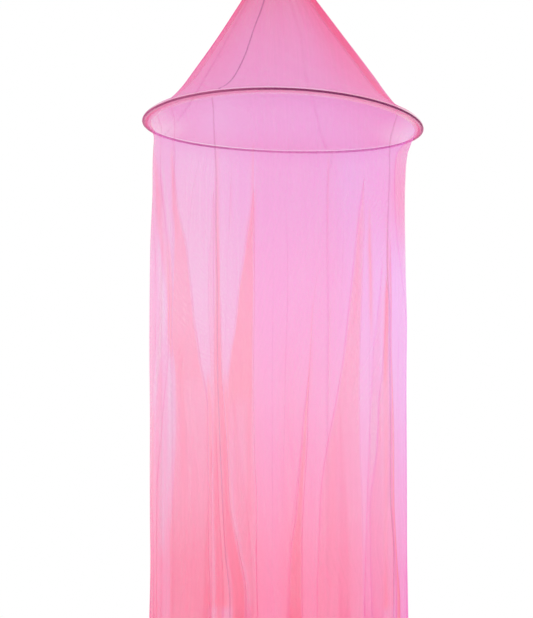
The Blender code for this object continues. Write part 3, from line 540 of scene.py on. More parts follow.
def curve_through(points, steps):
    """A smooth curve through 2D points, with that many steps from each point to the next."""
    run = [2.0 * points[0] - points[1], *points, 2.0 * points[-1] - points[-2]]
    made = []
    for k, count in enumerate(steps):
        near = run[k : k + 4]
        knots = [0.0]
        for a, b in zip(near, near[1:]):
            knots.append(knots[-1] + math.sqrt(max(1e-5, (b - a).length)))
        for j in range(count):
            at = knots[1] + (knots[2] - knots[1]) * j / count
            level = near
            for span in (1, 2):
                shares = [(at - knots[i]) / (knots[i + span] - knots[i]) for i in range(len(level) - 1)]
                level = [a.lerp(b, share) for a, b, share in zip(level, level[1:], shares)]
            made.append(level[0].lerp(level[1], (at - knots[1]) / (knots[2] - knots[1])))
    made.append(points[-1])
    return made


def sag_at(angle):
    """How far the hoop hangs under its highest points, at an azimuth in radians."""
    return HOOP_SAG * math.sin(angle) ** 2


def hoop_point(angle, out, up):
    """A point near the rod, from how far out and up it is from the rod's middle at an azimuth in radians."""
    radius = HOOP_RADIUS + out
    flat = Vector((radius * math.sin(angle), -radius * math.cos(angle), up - sag_at(angle)))
    tilted = Matrix.Rotation(HOOP_TILT, 3, "Y") @ flat
    return tilted + Vector((HOOP_SHIFT, 0.0, -HOOP_DROP))


def new_mesh(name, points, faces):
    mesh = bpy.data.meshes.new(name)
    mesh.from_pydata(points, [], faces)
    mesh.shade_smooth()
    return mesh


def place_object(name, data):
    made = bpy.data.objects.new(name, data)
    bpy.context.scene.collection.objects.link(made)
    return made


def add_piece(mesh, material, node=None):
    """A piece of the part, named as its mesh, in place of a node of the frame where one is named."""
    piece = place_object(mesh.name, mesh)
    mesh.materials.append(material)
    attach(piece, BODY)
    if node:
        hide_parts(node)
    return piece


# A point of the net: its place, the net's colour and cover there, and its place on the flat cloth
Point = namedtuple("Point", "place colour cover cloth")


def net_mesh(name, columns, closed=False):
    """A sheet from columns of points. A column runs downwards, and the columns run to the right seen from outside."""
    rows = len(columns[0])
    points = [point for column in columns for point in column]
    faces = []
    for c in range(len(columns) if closed else len(columns) - 1):
        left, right = c * rows, (c + 1) % len(columns) * rows
        faces.extend((left + r + 1, right + r + 1, right + r, left + r) for r in range(rows - 1))
    mesh = new_mesh(name, [point.place for point in points], faces)
    colours = mesh.attributes.new("net_colour", "FLOAT_COLOR", "POINT")
    colours.data.foreach_set("color", [value for point in points for value in (*point.colour, 1.0)])
    covers = mesh.attributes.new("net_cover", "FLOAT", "POINT")
    covers.data.foreach_set("value", [point.cover for point in points])
    cloth = mesh.uv_layers.new(name="cloth")
    cloth.data.foreach_set("uv", [value for loop in mesh.loops for value in points[loop.vertex_index].cloth])
    return mesh


def ring_mesh(name, profile, steps, point_of):
    """A ring swept from a closed profile of (out, up). point_of(angle, out, up) places each point."""
    count = len(profile)
    points, faces = [], []
    for k in range(steps):
        points.extend(point_of(2.0 * math.pi * k / steps, out, up) for out, up in profile)
        here, after = k * count, (k + 1) % steps * count
        for j in range(count):
            following = (j + 1) % count
            faces.append((here + j, after + j, after + following, here + following))
    return new_mesh(name, points, faces)


def tube_faces(first, rings, sides):
    """Faces between rings of points, from the point with the number first on."""
    faces = []
    for ring in range(rings - 1):
        for j in range(sides):
            a, b = first + ring * sides + j, first + ring * sides + (j + 1) % sides
            faces.append((a, b, b + sides, a + sides))
    return faces


# ----------------------------------------------------------------- materials


class Shading:
    """A new material. Its nodes' inputs are given as values or as other nodes' outputs."""

    def __init__(self, name):
        self.material = bpy.data.materials.new(name)
        self.material.use_nodes = True
        self.tree = self.material.node_tree
        self.tree.nodes.clear()

    def add(self, kind, inputs=None, **settings):
        node = self.tree.nodes.new(kind)
        for name, value in settings.items():
            setattr(node, name, value)
        for name, value in (inputs or {}).items():
            if isinstance(value, bpy.types.NodeSocket):
                self.tree.links.new(value, node.inputs[name])
            else:
                node.inputs[name].default_value = value
        return node

    def math(self, operation, first, second, **settings):
        return self.add("ShaderNodeMath", {0: first, 1: second}, operation=operation, **settings).outputs[0]

    def bump(self, height, strength, distance):
        inputs = {"Height": height, "Strength": strength, "Distance": distance}
        return self.add("ShaderNodeBump", inputs).outputs["Normal"]

    def mixed(self, share, first, second):
        return self.add("ShaderNodeMixShader", {"Fac": share, 1: first, 2: second}).outputs["Shader"]

    def end(self, shader):
        self.add("ShaderNodeOutputMaterial", {"Surface": shader})
        return self.material

    def end_patterned(self, pattern, stops, surface, bump=None):
        """Ends a material whose colour runs between two stops along a pattern, which may also raise it a little."""
        ramp = self.add("ShaderNodeValToRGB", {"Fac": pattern})
        for element, (position, colour) in zip(ramp.color_ramp.elements, stops):
            element.position = position
            element.color = (*colour, 1.0)
        inputs = {"Base Color": ramp.outputs["Color"], **surface}
        if bump:
            inputs["Normal"] = self.bump(pattern, *bump)
        return self.end(self.add("ShaderNodeBsdfPrincipled", inputs).outputs["BSDF"])


def net_material(name, weave, streaks):
    """Sheer knitted net. Its colour and cover come from the cloth's points, and mesh and faint streaks vary them."""
    made = Shading(name)
    colour = made.add("ShaderNodeAttribute", attribute_name="net_colour").outputs["Color"]
    cover = made.add("ShaderNodeAttribute", attribute_name="net_cover").outputs["Fac"]
    cloth = made.add("ShaderNodeUVMap", uv_map="cloth").outputs["UV"]
    mesh = made.add(
        "ShaderNodeTexVoronoi", {"Vector": cloth, "Scale": MESH_PER_METRE, "Randomness": 0.35},
        voronoi_dimensions="2D", feature="DISTANCE_TO_EDGE",
    )
    span = {"From Min": 0.05, "From Max": 0.30, "To Min": 1.0, "To Max": -1.0}
    thread = made.add(
        "ShaderNodeMapRange", {"Value": mesh.outputs["Distance"], **span}, interpolation_type="SMOOTHSTEP",
    ).outputs["Result"]
    along = made.add("ShaderNodeMapping", {"Vector": cloth, "Scale": (110.0, 2.2, 1.0)}).outputs["Vector"]
    streak = made.add(
        "ShaderNodeTexNoise", {"Vector": along, "Scale": 1.0, "Detail": 3.0}, noise_dimensions="2D",
    ).outputs["Fac"]
    streaky = made.math("MULTIPLY", made.math("SUBTRACT", streak, 0.5), 2.0 * streaks)
    varied = made.math("ADD", made.math("MULTIPLY", thread, weave), streaky)
    shown = made.math("MULTIPLY", cover, made.math("ADD", varied, 1.0), use_clamp=True)

    shared = {"Normal": made.bump(thread, 0.25, 0.3 * MM)}
    soft = {"Roughness": 0.75, "Specular IOR Level": 0.15, "Sheen Weight": 0.08, "Sheen Roughness": 0.4}
    lit = made.mixed(
        0.5,
        made.add("ShaderNodeBsdfPrincipled", {"Base Color": colour, **soft, **shared}).outputs["BSDF"],
        made.add("ShaderNodeBsdfTranslucent", {"Color": colour, **shared}).outputs["BSDF"],
    )
    clear = made.add("ShaderNodeBsdfTransparent").outputs["BSDF"]
    return made.end(made.mixed(shown, clear, lit))


def tape_material(name, colour, dark, pitch):
    """Woven cotton tape: a fine twill with uneven yarns."""
    made = Shading(name)
    place = made.add("ShaderNodeTexCoord").outputs["Object"]
    yarns = [
        made.add(
            "ShaderNodeTexWave", {"Vector": place, "Scale": 1.0 / pitch / 3.0, "Distortion": bent},
            bands_direction=way,
        ).outputs["Fac"]
        for way, bent in (("DIAGONAL", 1.2), ("Z", 0.8))
    ]
    uneven = made.add("ShaderNodeTexNoise", {"Vector": place, "Scale": 260.0}).outputs["Fac"]
    height = made.math("ADD", made.math("MULTIPLY", *yarns), uneven)
    surface = {"Roughness": 0.85, "Specular IOR Level": 0.2, "Sheen Weight": 0.15}
    return made.end_patterned(height, ((0.25, dark), (1.0, colour)), surface, (0.5, 0.25 * MM))


def rod_material():
    """Satin plum plastic with faint drawing marks and a few lighter scuffs."""
    made = Shading("rod_plastic")
    place = made.add("ShaderNodeTexCoord").outputs["Object"]
    marks = made.add("ShaderNodeTexNoise", {"Vector": place, "Scale": 40.0, "Detail": 4.0}).outputs["Fac"]
    stops = ((0.35, (0.115, 0.004, 0.062)), (0.8, (0.165, 0.008, 0.092)))
    surface = {"Roughness": 0.5, "Specular IOR Level": 0.18}
    return made.end_patterned(marks, stops, surface, (0.15, 0.1 * MM))


def floor_material():
    """A matt surface with a very faint mottle."""
    made = Shading("floor_plain")
    colour = (0.90, 0.89, 0.90)
    place = made.add("ShaderNodeTexCoord").outputs["Object"]
    mottle = made.add("ShaderNodeTexNoise", {"Vector": place, "Scale": 3.0}).outputs["Fac"]
    stops = ((0.0, [0.97 * value for value in colour]), (1.0, colour))
    return made.end_patterned(mottle, stops, {"Roughness": 0.9})


# ------------------------------------------------------- folds, for any panel

FoldLine = namedtuple("FoldLine", "side edge lap tint")


def swell_at(azimuth, depth):
    """Soft waves round the curtain, from -1 to 1."""
    angle = math.radians(azimuth)
    return 0.6 * math.sin(9.0 * angle + 1.1) + 0.4 * math.sin(14.0 * angle + 2.0 * depth)


def ripple_at(azimuth, depth, radius):
    """Small upright ripples, in metres."""
    across = math.radians(azimuth) * radius
    wide = noise.noise(Vector((across * 38.0, depth * 1.7, 3.1)))
    narrow = noise.noise(Vector((across * 105.0, depth * 2.6, 8.7)))
    return (1.1 * wide + 0.5 * narrow) * MM * smoothstep(depth / 0.12)


def fold_controls(line, place, radius, pitch, wave):
    """(azimuth, offset outwards) of the eight controls of one fold, from left to right along the net."""
    lap = line.lap.at(place)
    opened = smoothstep(lap / FOLD_SETTLED)
    turn = FOLD_TURN * pitch
    clear = turn + FOLD_CLEAR
    folded = [-lap - clear, -turn, 0.0, -turn, turn - lap, -lap, turn - lap, clear]
    offsets = [1.0, 1.0, 0.5, 0.0, 0.0, -0.5, -1.0, -1.0]
    edge = line.edge.at(place)
    azimuths = []
    for k, along in enumerate(folded):
        flat = (k - 3.5) * FLAT_COLUMN
        azimuths.append(edge + line.side * math.degrees((flat + opened * (along - flat)) / radius))
    first, last = azimuths[0], azimuths[-1]
    swells = [swell_at(end, place) for end in (first, last)]
    controls = []
    for azimuth, offset in zip(azimuths, offsets):
        share = (azimuth - first) / (last - first)
        swell = swells[0] + share * (swells[1] - swells[0])
        controls.append((azimuth, pitch * opened * offset + wave * swell))
    return controls[:: line.side]


def row_controls(start, end, lines, place, frame):
    """(azimuth, offset) of every control of a panel in one row. frame is the row's radius, pitch and wave."""
    wave = frame[-1]
    controls = [(start, wave * swell_at(start, place))]
    last = [(end, wave * swell_at(end, place))]
    for group in [fold_controls(line, place, *frame) for line in lines] + [last]:
        azimuth, offset = controls[-1]
        for k in range(1, PLAIN_CONTROLS + 1):
            share = k / (PLAIN_CONTROLS + 1)
            here = azimuth + share * (group[0][0] - azimuth)
            free = min(share, 1.0 - share) * 2.0
            straight = offset + share * (group[0][1] - offset)
            controls.append((here, straight + free * (wave * swell_at(here, place) - straight)))
        controls.extend(group)
    return controls


def owners_of(lines):
    """For each step from one control to the next: the fold that it is in, and how many of its layers lie over it."""
    plain = [(None, 0)] * (PLAIN_CONTROLS + 1)
    owners = []
    for line in lines:
        layers = [(line, layer) for layer in (0, 0, 1, 1, 1, 2, 2)]
        owners += plain + layers[:: line.side]
    return owners + plain


def fold_share(line, azimuth, place, radius, under):
    """Shares, from 0 to 1: of a fold's look, of lying hidden between its edges, and of being in its turns.

    under is how far the layer lies under the fold's front layer. Seen from the front, it hides that far round the side.
    """
    lap = line.lap.at(place)
    along = math.radians(azimuth - line.edge.at(place)) * line.side * radius
    soft = min(EDGE_SOFT, 0.4 * lap + 0.5 * MM)
    inside = smoothstep((along + lap) / soft) * smoothstep(-along / soft)
    slope = max(-STEEPEST, min(STEEPEST, math.tan(math.radians(azimuth))))
    seen = along - line.side * under * slope
    hidden = smoothstep((seen + lap) / EDGE_NEAR) * smoothstep(-seen / EDGE_NEAR)
    turn = math.exp(-((along / EDGE_WIDTH) ** 2)) + BACK_EDGE * math.exp(-(((along + lap) / EDGE_WIDTH) ** 2))
    opened = smoothstep(lap / FOLD_SETTLED)
    return inside * opened, hidden * opened, turn * opened


def look_at(tracks, place):
    """(colour, cover) of a table of looks at a place."""
    red, green, blue, cover = (track.at(place) for track in tracks.values())
    return (red, green, blue), cover


# ------------------------------------------------------------ curtain's panels

LOOK_COLUMNS = {"red": 1, "green": 1, "blue": 1, "cover": 1}
ROW_TRACKS = tracks_of(CURTAIN, radius=1, shift=1, tilt=1, wave=MM, pitch=MM)
PLAIN_TRACKS = tracks_of(PLAIN_LOOKS, **LOOK_COLUMNS)
FOLD_TRACKS = tracks_of(FOLD_LOOKS, **LOOK_COLUMNS)
ZONE_TRACKS = [(depth, tracks_of(zones, denser=1, bluer=1, greyer=1)) for depth, zones in ZONES.items()]
SHADE_TRACKS = [
    (stations[0][0], stations[-1][0], *tracks_of(stations, azimuth=1, width=MM, tells=1).values())
    for stations in SHADES.values()
]


def curtain_depths():
    """Depths of the rows of points: close together in the upper part, which bends most, and at the hem."""
    depths = [CURTAIN_TOP]
    while depths[-1] < CURTAIN_FOOT - 0.0005:
        here = depths[-1]
        step = 6.0 if here < 0.11 else 14.0 if here < 1.0 else 28.0 if here < CURTAIN_FOOT - 0.06 else 4.0
        depths.append(min(CURTAIN_FOOT, here + step * MM))
    return depths


def curtain_place(azimuth, offset, depth):
    """A point of the curtain, which ripples a little over its folds and waves."""
    angle = math.radians(azimuth)
    radius = ROW_TRACKS["radius"].at(depth)
    radius += offset + ripple_at(azimuth, depth, radius)
    tilt = ROW_TRACKS["tilt"].at(depth)
    across = radius * math.sin(angle)
    low = smoothstep((depth - HEM_FROM) / (CURTAIN_FOOT - HEM_FROM))
    fall = depth + (math.tan(HOOP_TILT) * across + sag_at(angle)) * tilt
    fall += low * HEM_UNEVENNESS * math.sin(3.0 * angle + 0.7)
    lean = -depth * math.sin(HOOP_TILT) * tilt
    shift = ROW_TRACKS["shift"].at(depth)
    return (across + shift + lean, -radius * math.cos(angle), -HOOP_DROP - fall)


def zone_at(azimuth, depth):
    """[denser, bluer, greyer] at a point, blended from the tables for the depths above and below it."""
    k = 0
    while k < len(ZONE_TRACKS) - 2 and depth > ZONE_TRACKS[k + 1][0]:
        k += 1
    (high, upper), (deep, lower) = ZONE_TRACKS[k : k + 2]
    low = smoothstep((depth - high) / (deep - high))
    return [upper[name].at(azimuth) * (1.0 - low) + lower[name].at(azimuth) * low for name in upper]


def shade_at(azimuth, depth, radius):
    """How much the soft upright bands tell at a point, from about -1 to 1.5."""
    total = 0.0
    for first, last, azimuths, widths, tells in SHADE_TRACKS:
        if first < depth < last:
            away = math.radians(azimuth - azimuths.at(depth)) * radius / widths.at(depth)
            if abs(away) < 3.0:
                total += tells.at(depth) * math.exp(-away * away)
    return total


def curtain_look(azimuth, depth, radius, fold, layer):
    """(colour, cover) of one layer of net at a point of the curtain."""
    # The net's look by depth, whose change of colour is painted light and shade
    colour, cover = look_at(PLAIN_TRACKS, depth)
    denser, bluer, greyer = zone_at(half_turned(azimuth), depth)
    cover += denser + TOP_COVER * (1.0 - smoothstep(depth / TOP_COVER_DOWN_TO))
    # Painted light and shade: bluer shifts the colour as a cool light would, greyer mixes in shade
    colour = tuple(value + weight * bluer for value, weight in zip(colour, BLUER))
    colour = mix(colour, GREY_NET, GREYER * greyer)
    fold_colour, fold_cover = look_at(FOLD_TRACKS, depth)
    if fold is not None:
        tint = fold.tint.at(depth)
        under = layer * ROW_TRACKS["pitch"].at(depth)
        inside, hidden, turn = fold_share(fold, azimuth, depth, radius, under)
        share = inside * min(1.0, tint)
        colour = mix(colour, fold_colour, share)
        cover += share * (fold_cover - cover) + DEEP_TINT_COVER * max(0.0, tint - 1.0) * inside
        if layer:
            # Painted light: hidden layers lose cover as if the light washed them out, down to where that fades
            light_washed = 1.0 - smoothstep((depth - LIGHT_WASH_DOWN_TO) / LIGHT_WASH_OVER)
            cover *= 1.0 - light_washed * hidden * (1.0 - HIDDEN_COVER * tint * inside)
        # The turn's darker colour: partly denser net, partly painted shade
        telling = min(1.0, EDGE_LEAST + tint)
        colour = mix(colour, EDGE_COLOUR, min(1.0, EDGE_SHARE * turn) * telling)
        cover += EDGE_COVER * turn * telling
    if layer == 0:
        # Soft bands: partly the net lying thicker or thinner in soft folds, partly painted light and shade
        telling = shade_at(half_turned(azimuth), depth, radius)
        colour = mix(colour, fold_colour if telling > 0.0 else PALE_NET, min(1.0, abs(telling)))
        cover += SHADE_COVER * telling
    if depth > CURTAIN_FOOT - HEM_DEPTH:
        cover = 1.0 - (1.0 - cover) ** 2
    return colour, min(cover, MOST_COVER)


def curtain_cloth(azimuth, along, depth, radius):
    return along, -depth


# ---------------------------------------------------------------- cone's gores

RING_TRACKS = tracks_of(CONE, radius=1, pleat=MM, pitch=MM)
RING_TRACKS["wave"] = Track(((CONE_FOOT, 0.0), (CONE_TOP, 0.0)))
CONE_PLAIN_TRACKS = tracks_of(CONE_PLAIN, **LOOK_COLUMNS)
CONE_SIDE_TRACKS = tracks_of(CONE_SIDE, **LOOK_COLUMNS)


def cone_heights():
    """Heights of the rings of points, from the top down."""
    heights = [CONE_TOP]
    while heights[-1] > CONE_FOOT + 0.0005:
        step = 3.0 * MM if heights[-1] < 0.06 else 6.0 * MM
        heights.append(max(CONE_FOOT, heights[-1] - step))
    return heights


def cone_place(azimuth, offset, height):
    angle = math.radians(azimuth)
    side = math.sin(angle) ** 2
    pleat = RING_TRACKS["pleat"].at(height)
    gather = 0.5 * MM * smoothstep(height / 0.2) * smoothstep((CONE_TOP - height) / 0.03)
    radius = RING_TRACKS["radius"].at(height) + offset
    radius += pleat * side * math.sin(CONE_PLEATS * angle) + gather * math.sin(46.0 * angle)
    hold = 1.0 - smoothstep(height / CONE_TOP)
    across = radius * math.sin(angle)
    drop = (math.tan(HOOP_TILT) * across + sag_at(angle)) * hold
    lean = height * math.sin(HOOP_TILT)
    middle = (HOOP_SHIFT + lean) * hold
    return (middle + across, -radius * math.cos(angle), height - HOOP_DROP - drop)


def cone_look(azimuth, height, radius, fold, layer):
    """(colour, cover) of one layer of net at a point of the cone. It is denser at its two sides."""
    angle = math.radians(azimuth)
    across, facing = math.sin(angle), math.cos(angle)
    if across > 0.0:
        side = smoothstep((across - 0.35) / 0.6)
    else:
        side = 0.55 * smoothstep((-across - 0.6) / 0.35)
    share = side * (0.6 + 0.4 * smoothstep((height - 0.06) / 0.15))
    colour, cover = look_at(CONE_PLAIN_TRACKS, height)
    colour = (colour[0], colour[1], colour[2] + CONE_FRONT_BLUE * smoothstep(0.5 + 0.8 * facing))
    side_colour, side_cover = look_at(CONE_SIDE_TRACKS, height)
    colour = mix(colour, side_colour, share)
    cover += share * (side_cover - cover)
    away = (abs(half_turned(azimuth)) - CONE_RIM) / CONE_RIM_WIDTH
    rim = math.exp(-(away**2)) * smoothstep(height / 0.05)
    colour = mix(colour, CONE_RIM_COLOUR, 0.5 * rim)
    cover += CONE_RIM_COVER * rim
    low_back = (1.0 - smoothstep(height / 0.05)) * smoothstep(-facing / 0.5)
    colour = mix(colour, side_colour, CONE_LOW_BACK[0] * low_back)
    cover += CONE_LOW_BACK[1] * low_back
    cover -= CONE_BARE_FOOT * (1.0 - smoothstep(height / 0.045)) * smoothstep((abs(across) - 0.75) / 0.2)
    if fold is not None:
        tint = fold.tint.at(height)
        under = layer * RING_TRACKS["pitch"].at(height)
        inside, hidden, turn = fold_share(fold, azimuth, height, radius, under)
        colour = mix(colour, side_colour, inside * tint)
        if layer:
            cover *= 1.0 - hidden * (1.0 - HIDDEN_CONE_COVER * tint * inside)
        cover += EDGE_COVER * turn * tint
    return colour, min(cover, MOST_COVER)


def cone_cloth(azimuth, along, height, radius):
    return math.radians(azimuth) * max(radius, 0.1), height * 1.25


# ------------------------------------------------------------ panels and seams

# One of the two cloths: its name, the names that its pieces and the frame's nodes start with, its tracks, which of
# a seam's lines runs in it, and its rows, places, looks and flat places
Cloth = namedtuple("Cloth", "kind piece node tracks line rows place look flat")
CLOTHS = (
    Cloth("cone", "cone_", "gore_", RING_TRACKS, 0, cone_heights(), cone_place, cone_look, cone_cloth),
    Cloth("curtain", "net_", "curtain_", ROW_TRACKS, 1, curtain_depths(), curtain_place, curtain_look, curtain_cloth),
)


def panel_rows(cloth, name, lines):
    """Rows of (azimuth, offset, fold, layer) for a panel, one for each place down it."""
    order = list(PANELS)
    seams = [PANELS[name], PANELS[order[(order.index(name) + 1) % len(order)]]]
    left, right = (Track(SEAMS[seam][cloth.line]) for seam in seams)
    frames = [[cloth.tracks[column].at(place) for column in ("radius", "pitch", "wave")] for place in cloth.rows]
    controls = []
    for place, frame in zip(cloth.rows, frames):
        margin = math.degrees(SEWN_GAP / 2.0 / frame[0])
        start, end = left.at(place) + margin, right.at(place) - margin
        found = row_controls(start, end if end > start else end + 360.0, lines, place, frame)
        controls.append([Vector((math.radians(azimuth) * frame[0], offset)) for azimuth, offset in found])
    steps = []
    for k in range(len(controls[0]) - 1):
        longest = max((row[k + 1] - row[k]).length for row in controls)
        steps.append(max(1, math.ceil(longest / COLUMN_PITCH)))
    owners = [owner for owner, count in zip(owners_of(lines), steps) for _ in range(count)]
    owners.append((None, 0))
    rows = []
    for frame, row in zip(frames, controls):
        points = curve_through(row, steps)
        rows.append([(math.degrees(point.x / frame[0]), point.y, *owner) for point, owner in zip(points, owners)])
    return rows


def make_panel(cloth, name, material):
    """A gore of the cone or a panel of the curtain, and its columns of points."""
    folds = FOLDS.get((cloth.kind, name), {}).values()
    lines = [FoldLine(side, **tracks_of(stations, edge=1, lap=MM, tint=1)) for side, stations in folds]
    points = []
    for place, row in zip(cloth.rows, panel_rows(cloth, name, lines)):
        radius = cloth.tracks["radius"].at(place)
        along = 0.0
        made = []
        for before, (azimuth, offset, fold, layer) in zip([row[0], *row], row):
            along += math.hypot(math.radians(azimuth - before[0]) * radius, offset - before[1])
            colour, cover = cloth.look(azimuth, place, radius, fold, layer)
            flat = cloth.flat(azimuth, along, place, radius)
            made.append(Point(cloth.place(azimuth, offset, place), colour, cover, flat))
        points.append(made)
    columns = list(zip(*points))
    mesh = net_mesh(cloth.piece + name, columns)
    panel = add_piece(mesh, material, cloth.node + name)
    return columns


def add_ribbon(name, path, widths, proud, colour, cover, material):
    """A narrow crowned strip that lies on the net along a path, just outside it."""
    columns = [[] for _ in RIBBON_SHARES]
    along = 0.0
    for k, here in enumerate(path):
        before, after = path[max(0, k - 1)], path[min(len(path) - 1, k + 1)]
        down = (after - before).normalized()
        out = Vector((here.x, here.y, 0.0)).normalized()
        across = down.cross(out).normalized()
        out = across.cross(down)
        along += (here - before).length
        for column, share in zip(columns, RIBBON_SHARES):
            crown = proud * (1.0 - 0.6 * share * share)
            spot = here + across * (share * widths[k] / 2.0) + out * crown
            shown = cover * (1.0 - 0.85 * share * share)
            column.append(Point(tuple(spot), colour, shown, (share * widths[k] / 2.0, -along)))
    add_piece(net_mesh(name, columns), material)


def make_seam(name, left_edge, right_edge, material):
    """The seam between two panels: the strip where their edges are sewn together."""
    path = [(Vector(a.place) + Vector(b.place)) / 2.0 for a, b in zip(left_edge, right_edge)]
    look = SEAM_LOOKS[name]
    add_ribbon("seam_" + name, path, [look.width * MM] * len(path), SEAM_PROUD, look.colour, look.cover, material)


def make_tuck(name, material):
    cover, stations = TUCKS[name]
    azimuths, widths = tracks_of(stations, azimuth=1, width=MM).values()
    first, last = stations[0][0], stations[-1][0]
    count = math.ceil((last - first) / TUCK_STEP)
    path, wide = [], []
    for k in range(count + 1):
        depth = first + (last - first) * k / count
        azimuth = azimuths.at(depth)
        path.append(Vector(curtain_place(azimuth, ROW_TRACKS["wave"].at(depth) * swell_at(azimuth, depth), depth)))
        wide.append(max(TUCK_THINNEST, widths.at(depth)))
    add_ribbon("tuck_" + name, path, wide, TUCK_PROUD, TUCK_COLOUR, cover, material)


# --------------------------------------------------- hoop, casing, cap, loop


def make_rod(material):
    turns = [2.0 * math.pi * j / ROD_SIDES for j in range(ROD_SIDES)]
    profile = [(ROD_RADIUS * math.cos(turn), ROD_RADIUS * math.sin(turn)) for turn in turns]
    add_piece(ring_mesh("hoop_rod", profile, ROD_STEPS, hoop_point), material, "hoop")


def make_casing(material):
    spots = [(out * MM, up * MM, cover, part) for out, up, cover, part in CASING]
    veils = tracks_of(VEILS, outside=1, flap=1)
    veils["root"] = veils["flap"]
    columns = []
    for k in range(CASING_STEPS):
        turn = 2.0 * math.pi * k / CASING_STEPS
        azimuth = half_turned(math.degrees(turn))
        pull = noise.noise(Vector((9.0 * math.cos(turn), 9.0 * math.sin(turn), 1.7)))
        bare = noise.noise(Vector((2.1 * math.cos(turn), 2.1 * math.sin(turn), 6.2)))
        column = []
        length = 0.0
        for before, (out, up, cover, part) in zip([spots[0], *spots], spots):
            length += math.hypot(out - before[0], up - before[1])
            free = smoothstep(-out / (14.0 * MM)) * smoothstep((15.0 * MM + out) / (4.0 * MM))
            ruffle = free * (0.4 * math.sin(95.0 * turn + 3.0 * pull) + 0.4 * pull) * MM
            if part in veils:
                cover *= veils[part].at(azimuth) * (1.0 + 0.25 * bare)
            place = hoop_point(turn, out, up + ruffle)
            # The inside part's lighter colour is painted light against the shade in the casing
            column.append(Point(place, CASING_COLOURS[part], min(cover, MOST_COVER), (HOOP_RADIUS * turn, -length)))
        columns.append(column)
    add_piece(net_mesh("casing_band", columns, closed=True), material, "hoop_casing")


def make_cap(material):
    """The binding at the top: a crowned disc of tape with a band that grips the gathered net."""
    top = CAP_TOP
    outline = [(CAP_HOLE, top + 0.3 * MM), (0.008, top + 0.2 * MM), (0.016, top)]
    # Past the crown: out from the cap's radius, and down from its top, in millimetres
    for out, down in ((-3.0, 0.3), (-0.8, 1.2), (0.0, 3.0), (0.3, 8.0), (-0.2, 12.0), (0.3, 17.0)):
        outline.append((CAP_RADIUS + out * MM, top - down * MM))
    outline += [(CAP_RADIUS, top - CAP_DEPTH), (CAP_RADIUS - 1.2 * MM, top - CAP_DEPTH)]
    outline += [(CAP_RADIUS - 1.2 * MM, top - 4.0 * MM), (CAP_HOLE, top - 1.2 * MM)]

    def gathered(angle, out, up):
        gather = 0.35 * MM * math.sin(CAP_GATHERS * angle) * smoothstep((out - 0.006) / 0.012)
        radius = out + 0.6 * gather
        height = up + gather * (1.0 if out < CAP_RADIUS - 2.0 * MM else 0.2)
        return radius * math.sin(angle), -radius * math.cos(angle), height

    add_piece(ring_mesh("cap_binding", outline, CAP_STEPS, gathered), material, "top_binding")


def loop_path():
    """Middle line of the tape in XZ: upright from its left sewn end, over the top as a drop, and down again."""
    path = []
    middle = TAPE_THICKNESS / 2.0
    widest = math.cos(math.pi / 6.0) ** 3 * math.sin(math.pi / 6.0)
    for k in range(LOOP_STEPS + 1):
        half_turn = math.pi * (k / LOOP_STEPS - 0.5)
        rise = math.cos(half_turn) ** 2
        bulge = math.cos(half_turn) ** 3 * math.sin(half_turn) / widest
        foot = math.copysign((1.0 - rise) ** 2, half_turn)
        across = LOOP_HALF_WIDTH * bulge + LOOP_FOOT * foot
        path.append(Vector((across, 0.0, middle - (LOOP_HEIGHT + middle) * (1.0 - rise))))
    return path


def make_loop(material):
    """The tape of the hanging loop, with rounded selvedges that are a little thicker than its middle."""
    half, thick = TAPE_WIDTH / 2.0, TAPE_THICKNESS / 2.0
    section = [
        (-half, 0.5 * thick), (-half + 0.5 * MM, thick), (-half + 1.6 * MM, 0.8 * thick), (0.0, 0.85 * thick),
        (half - 1.6 * MM, 0.8 * thick), (half - 0.5 * MM, thick), (half, 0.5 * thick),
    ]
    section += [(wide, -up) for wide, up in reversed(section)]
    path = loop_path()
    points = []
    for k, here in enumerate(path):
        way = (path[min(k + 1, len(path) - 1)] - path[max(k - 1, 0)]).normalized()
        out = Vector((-way.z, 0.0, way.x))
        points.extend(here + Vector((0.0, wide, 0.0)) + out * up for wide, up in section)
    count = len(section)
    faces = tube_faces(0, len(path), count)
    faces += [tuple(reversed(range(count))), tuple(range(len(points) - count, len(points)))]
    add_piece(new_mesh("loop_tape", points, faces), material, "hanging_loop")


def make_cap_stitches(material):
    """Two rows of stitches round the cap's band: short thread bars with their ends sunk a little."""
    bar = ((0.0, -0.6), (0.15, 0.5), (0.5, 1.0), (0.85, 0.5), (1.0, -0.6))  # share of its length, lift
    points, faces = [], []
    for drop in STITCH_DROPS:
        for k in range(CAP_STITCHES):
            turns = [2.0 * math.pi * (k + share) / CAP_STITCHES for share in STITCH_ENDS]
            start, end = (
                Vector((math.sin(turn), -math.cos(turn), 0.0)) * (CAP_RADIUS + 0.35 * MM)
                + Vector((0.0, 0.0, CAP_TOP - drop))
                for turn in turns
            )
            middle = (start + end) / 2.0
            out = Vector((middle.x, middle.y, 0.0)).normalized()
            along = end - start
            across = along.cross(out).normalized()
            faces += tube_faces(len(points), len(bar), THREAD_SIDES)
            for share, lift in bar:
                centre = start + along * share + out * (lift * THREAD_RADIUS)
                for j in range(THREAD_SIDES):
                    turn = 2.0 * math.pi * j / THREAD_SIDES
                    points.append(centre + (across * math.cos(turn) + out * math.sin(turn)) * THREAD_RADIUS)
    add_piece(new_mesh("cap_stitches", points, faces), material)


# --------------------------------------------------------- stage, light, view


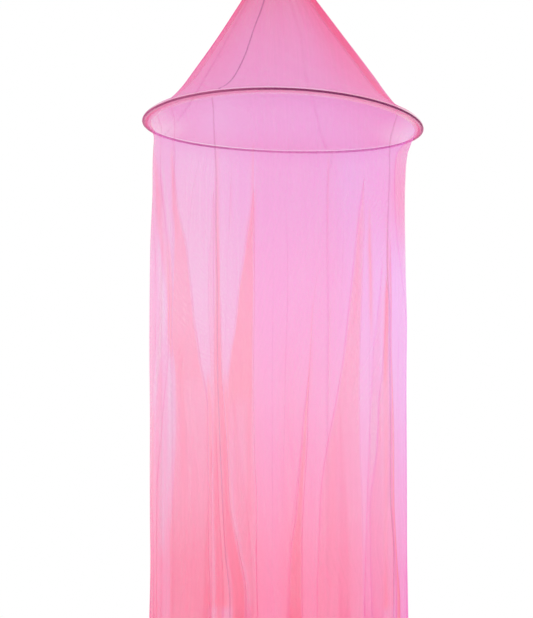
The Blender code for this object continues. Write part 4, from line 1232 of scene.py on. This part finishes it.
def make_floor(material):
    turns = [2.0 * math.pi * k / FLOOR_STEPS for k in range(FLOOR_STEPS)]
    rim = [(FLOOR_RADIUS * math.sin(turn), FLOOR_RADIUS * math.cos(turn), FLOOR_HEIGHT) for turn in turns]
    faces = [(0, (k + 1) % FLOOR_STEPS + 1, k + 1) for k in range(FLOOR_STEPS)]
    mesh = new_mesh("floor", [(0.0, 0.0, FLOOR_HEIGHT), *rim], faces)
    mesh.materials.append(material)
    place_object("floor", mesh)


def make_lights():
    for spec in LIGHTS:
        data = bpy.data.lights.new(spec.name, "AREA")
        data.shape = "DISK"
        data.size = spec.size
        data.energy = spec.power
        data.color = spec.colour
        light = place_object(spec.name, data)
        light.location = spec.place
        way = Vector(spec.target) - light.location
        light.rotation_euler = way.to_track_quat("-Z", "Y").to_euler()


def make_world():
    world = bpy.data.worlds.new("white_studio")
    world.use_nodes = True
    background = world.node_tree.nodes["Background"]
    background.inputs["Color"].default_value = (1.0, 1.0, 1.0, 1.0)
    background.inputs["Strength"].default_value = 1.0
    scene = bpy.context.scene
    scene.world = world
    scene.view_settings.view_transform = "Standard"
    scene.cycles.transparent_max_bounces = 48


def make_camera():
    data = bpy.data.cameras.new("camera")
    data.lens = CAMERA_LENS
    data.sensor_width = 36.0
    camera = place_object("camera", data)
    camera.location = CAMERA_PLACE
    camera.rotation_euler = (math.pi / 2.0 + CAMERA_PITCH, 0.0, 0.0)
    bpy.context.scene.camera = camera


# ----------------------------------------------------------------------- main


def main():
    for old in list(bpy.data.objects):
        bpy.data.objects.remove(old, do_unlink=True)
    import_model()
    make_camera()
    make_world()
    make_lights()
    net = net_material("net_fabric", weave=0.24, streaks=0.10)
    sewn = net_material("sewn_net", weave=0.12, streaks=0.05)
    tape = tape_material("tape_fabric", (0.86, 0.24, 0.46), (0.55, 0.10, 0.26), 0.8 * MM)
    thread = tape_material("thread", (0.95, 0.42, 0.62), (0.7, 0.2, 0.4), 0.2 * MM)

    columns = {(cloth.kind, name): make_panel(cloth, name, net) for name in PANELS for cloth in CLOTHS}
    for cloth in CLOTHS:
        before = "left"
        for name, seam in PANELS.items():
            edges = columns[cloth.kind, before][-1], columns[cloth.kind, name][0]
            make_seam(cloth.kind + "_" + seam, *edges, sewn)
            before = name
    for name in TUCKS:
        make_tuck(name, sewn)

    make_rod(rod_material())
    make_casing(sewn)
    make_cap(tape)
    make_loop(tape)
    make_cap_stitches(thread)
    make_floor(floor_material())


main()
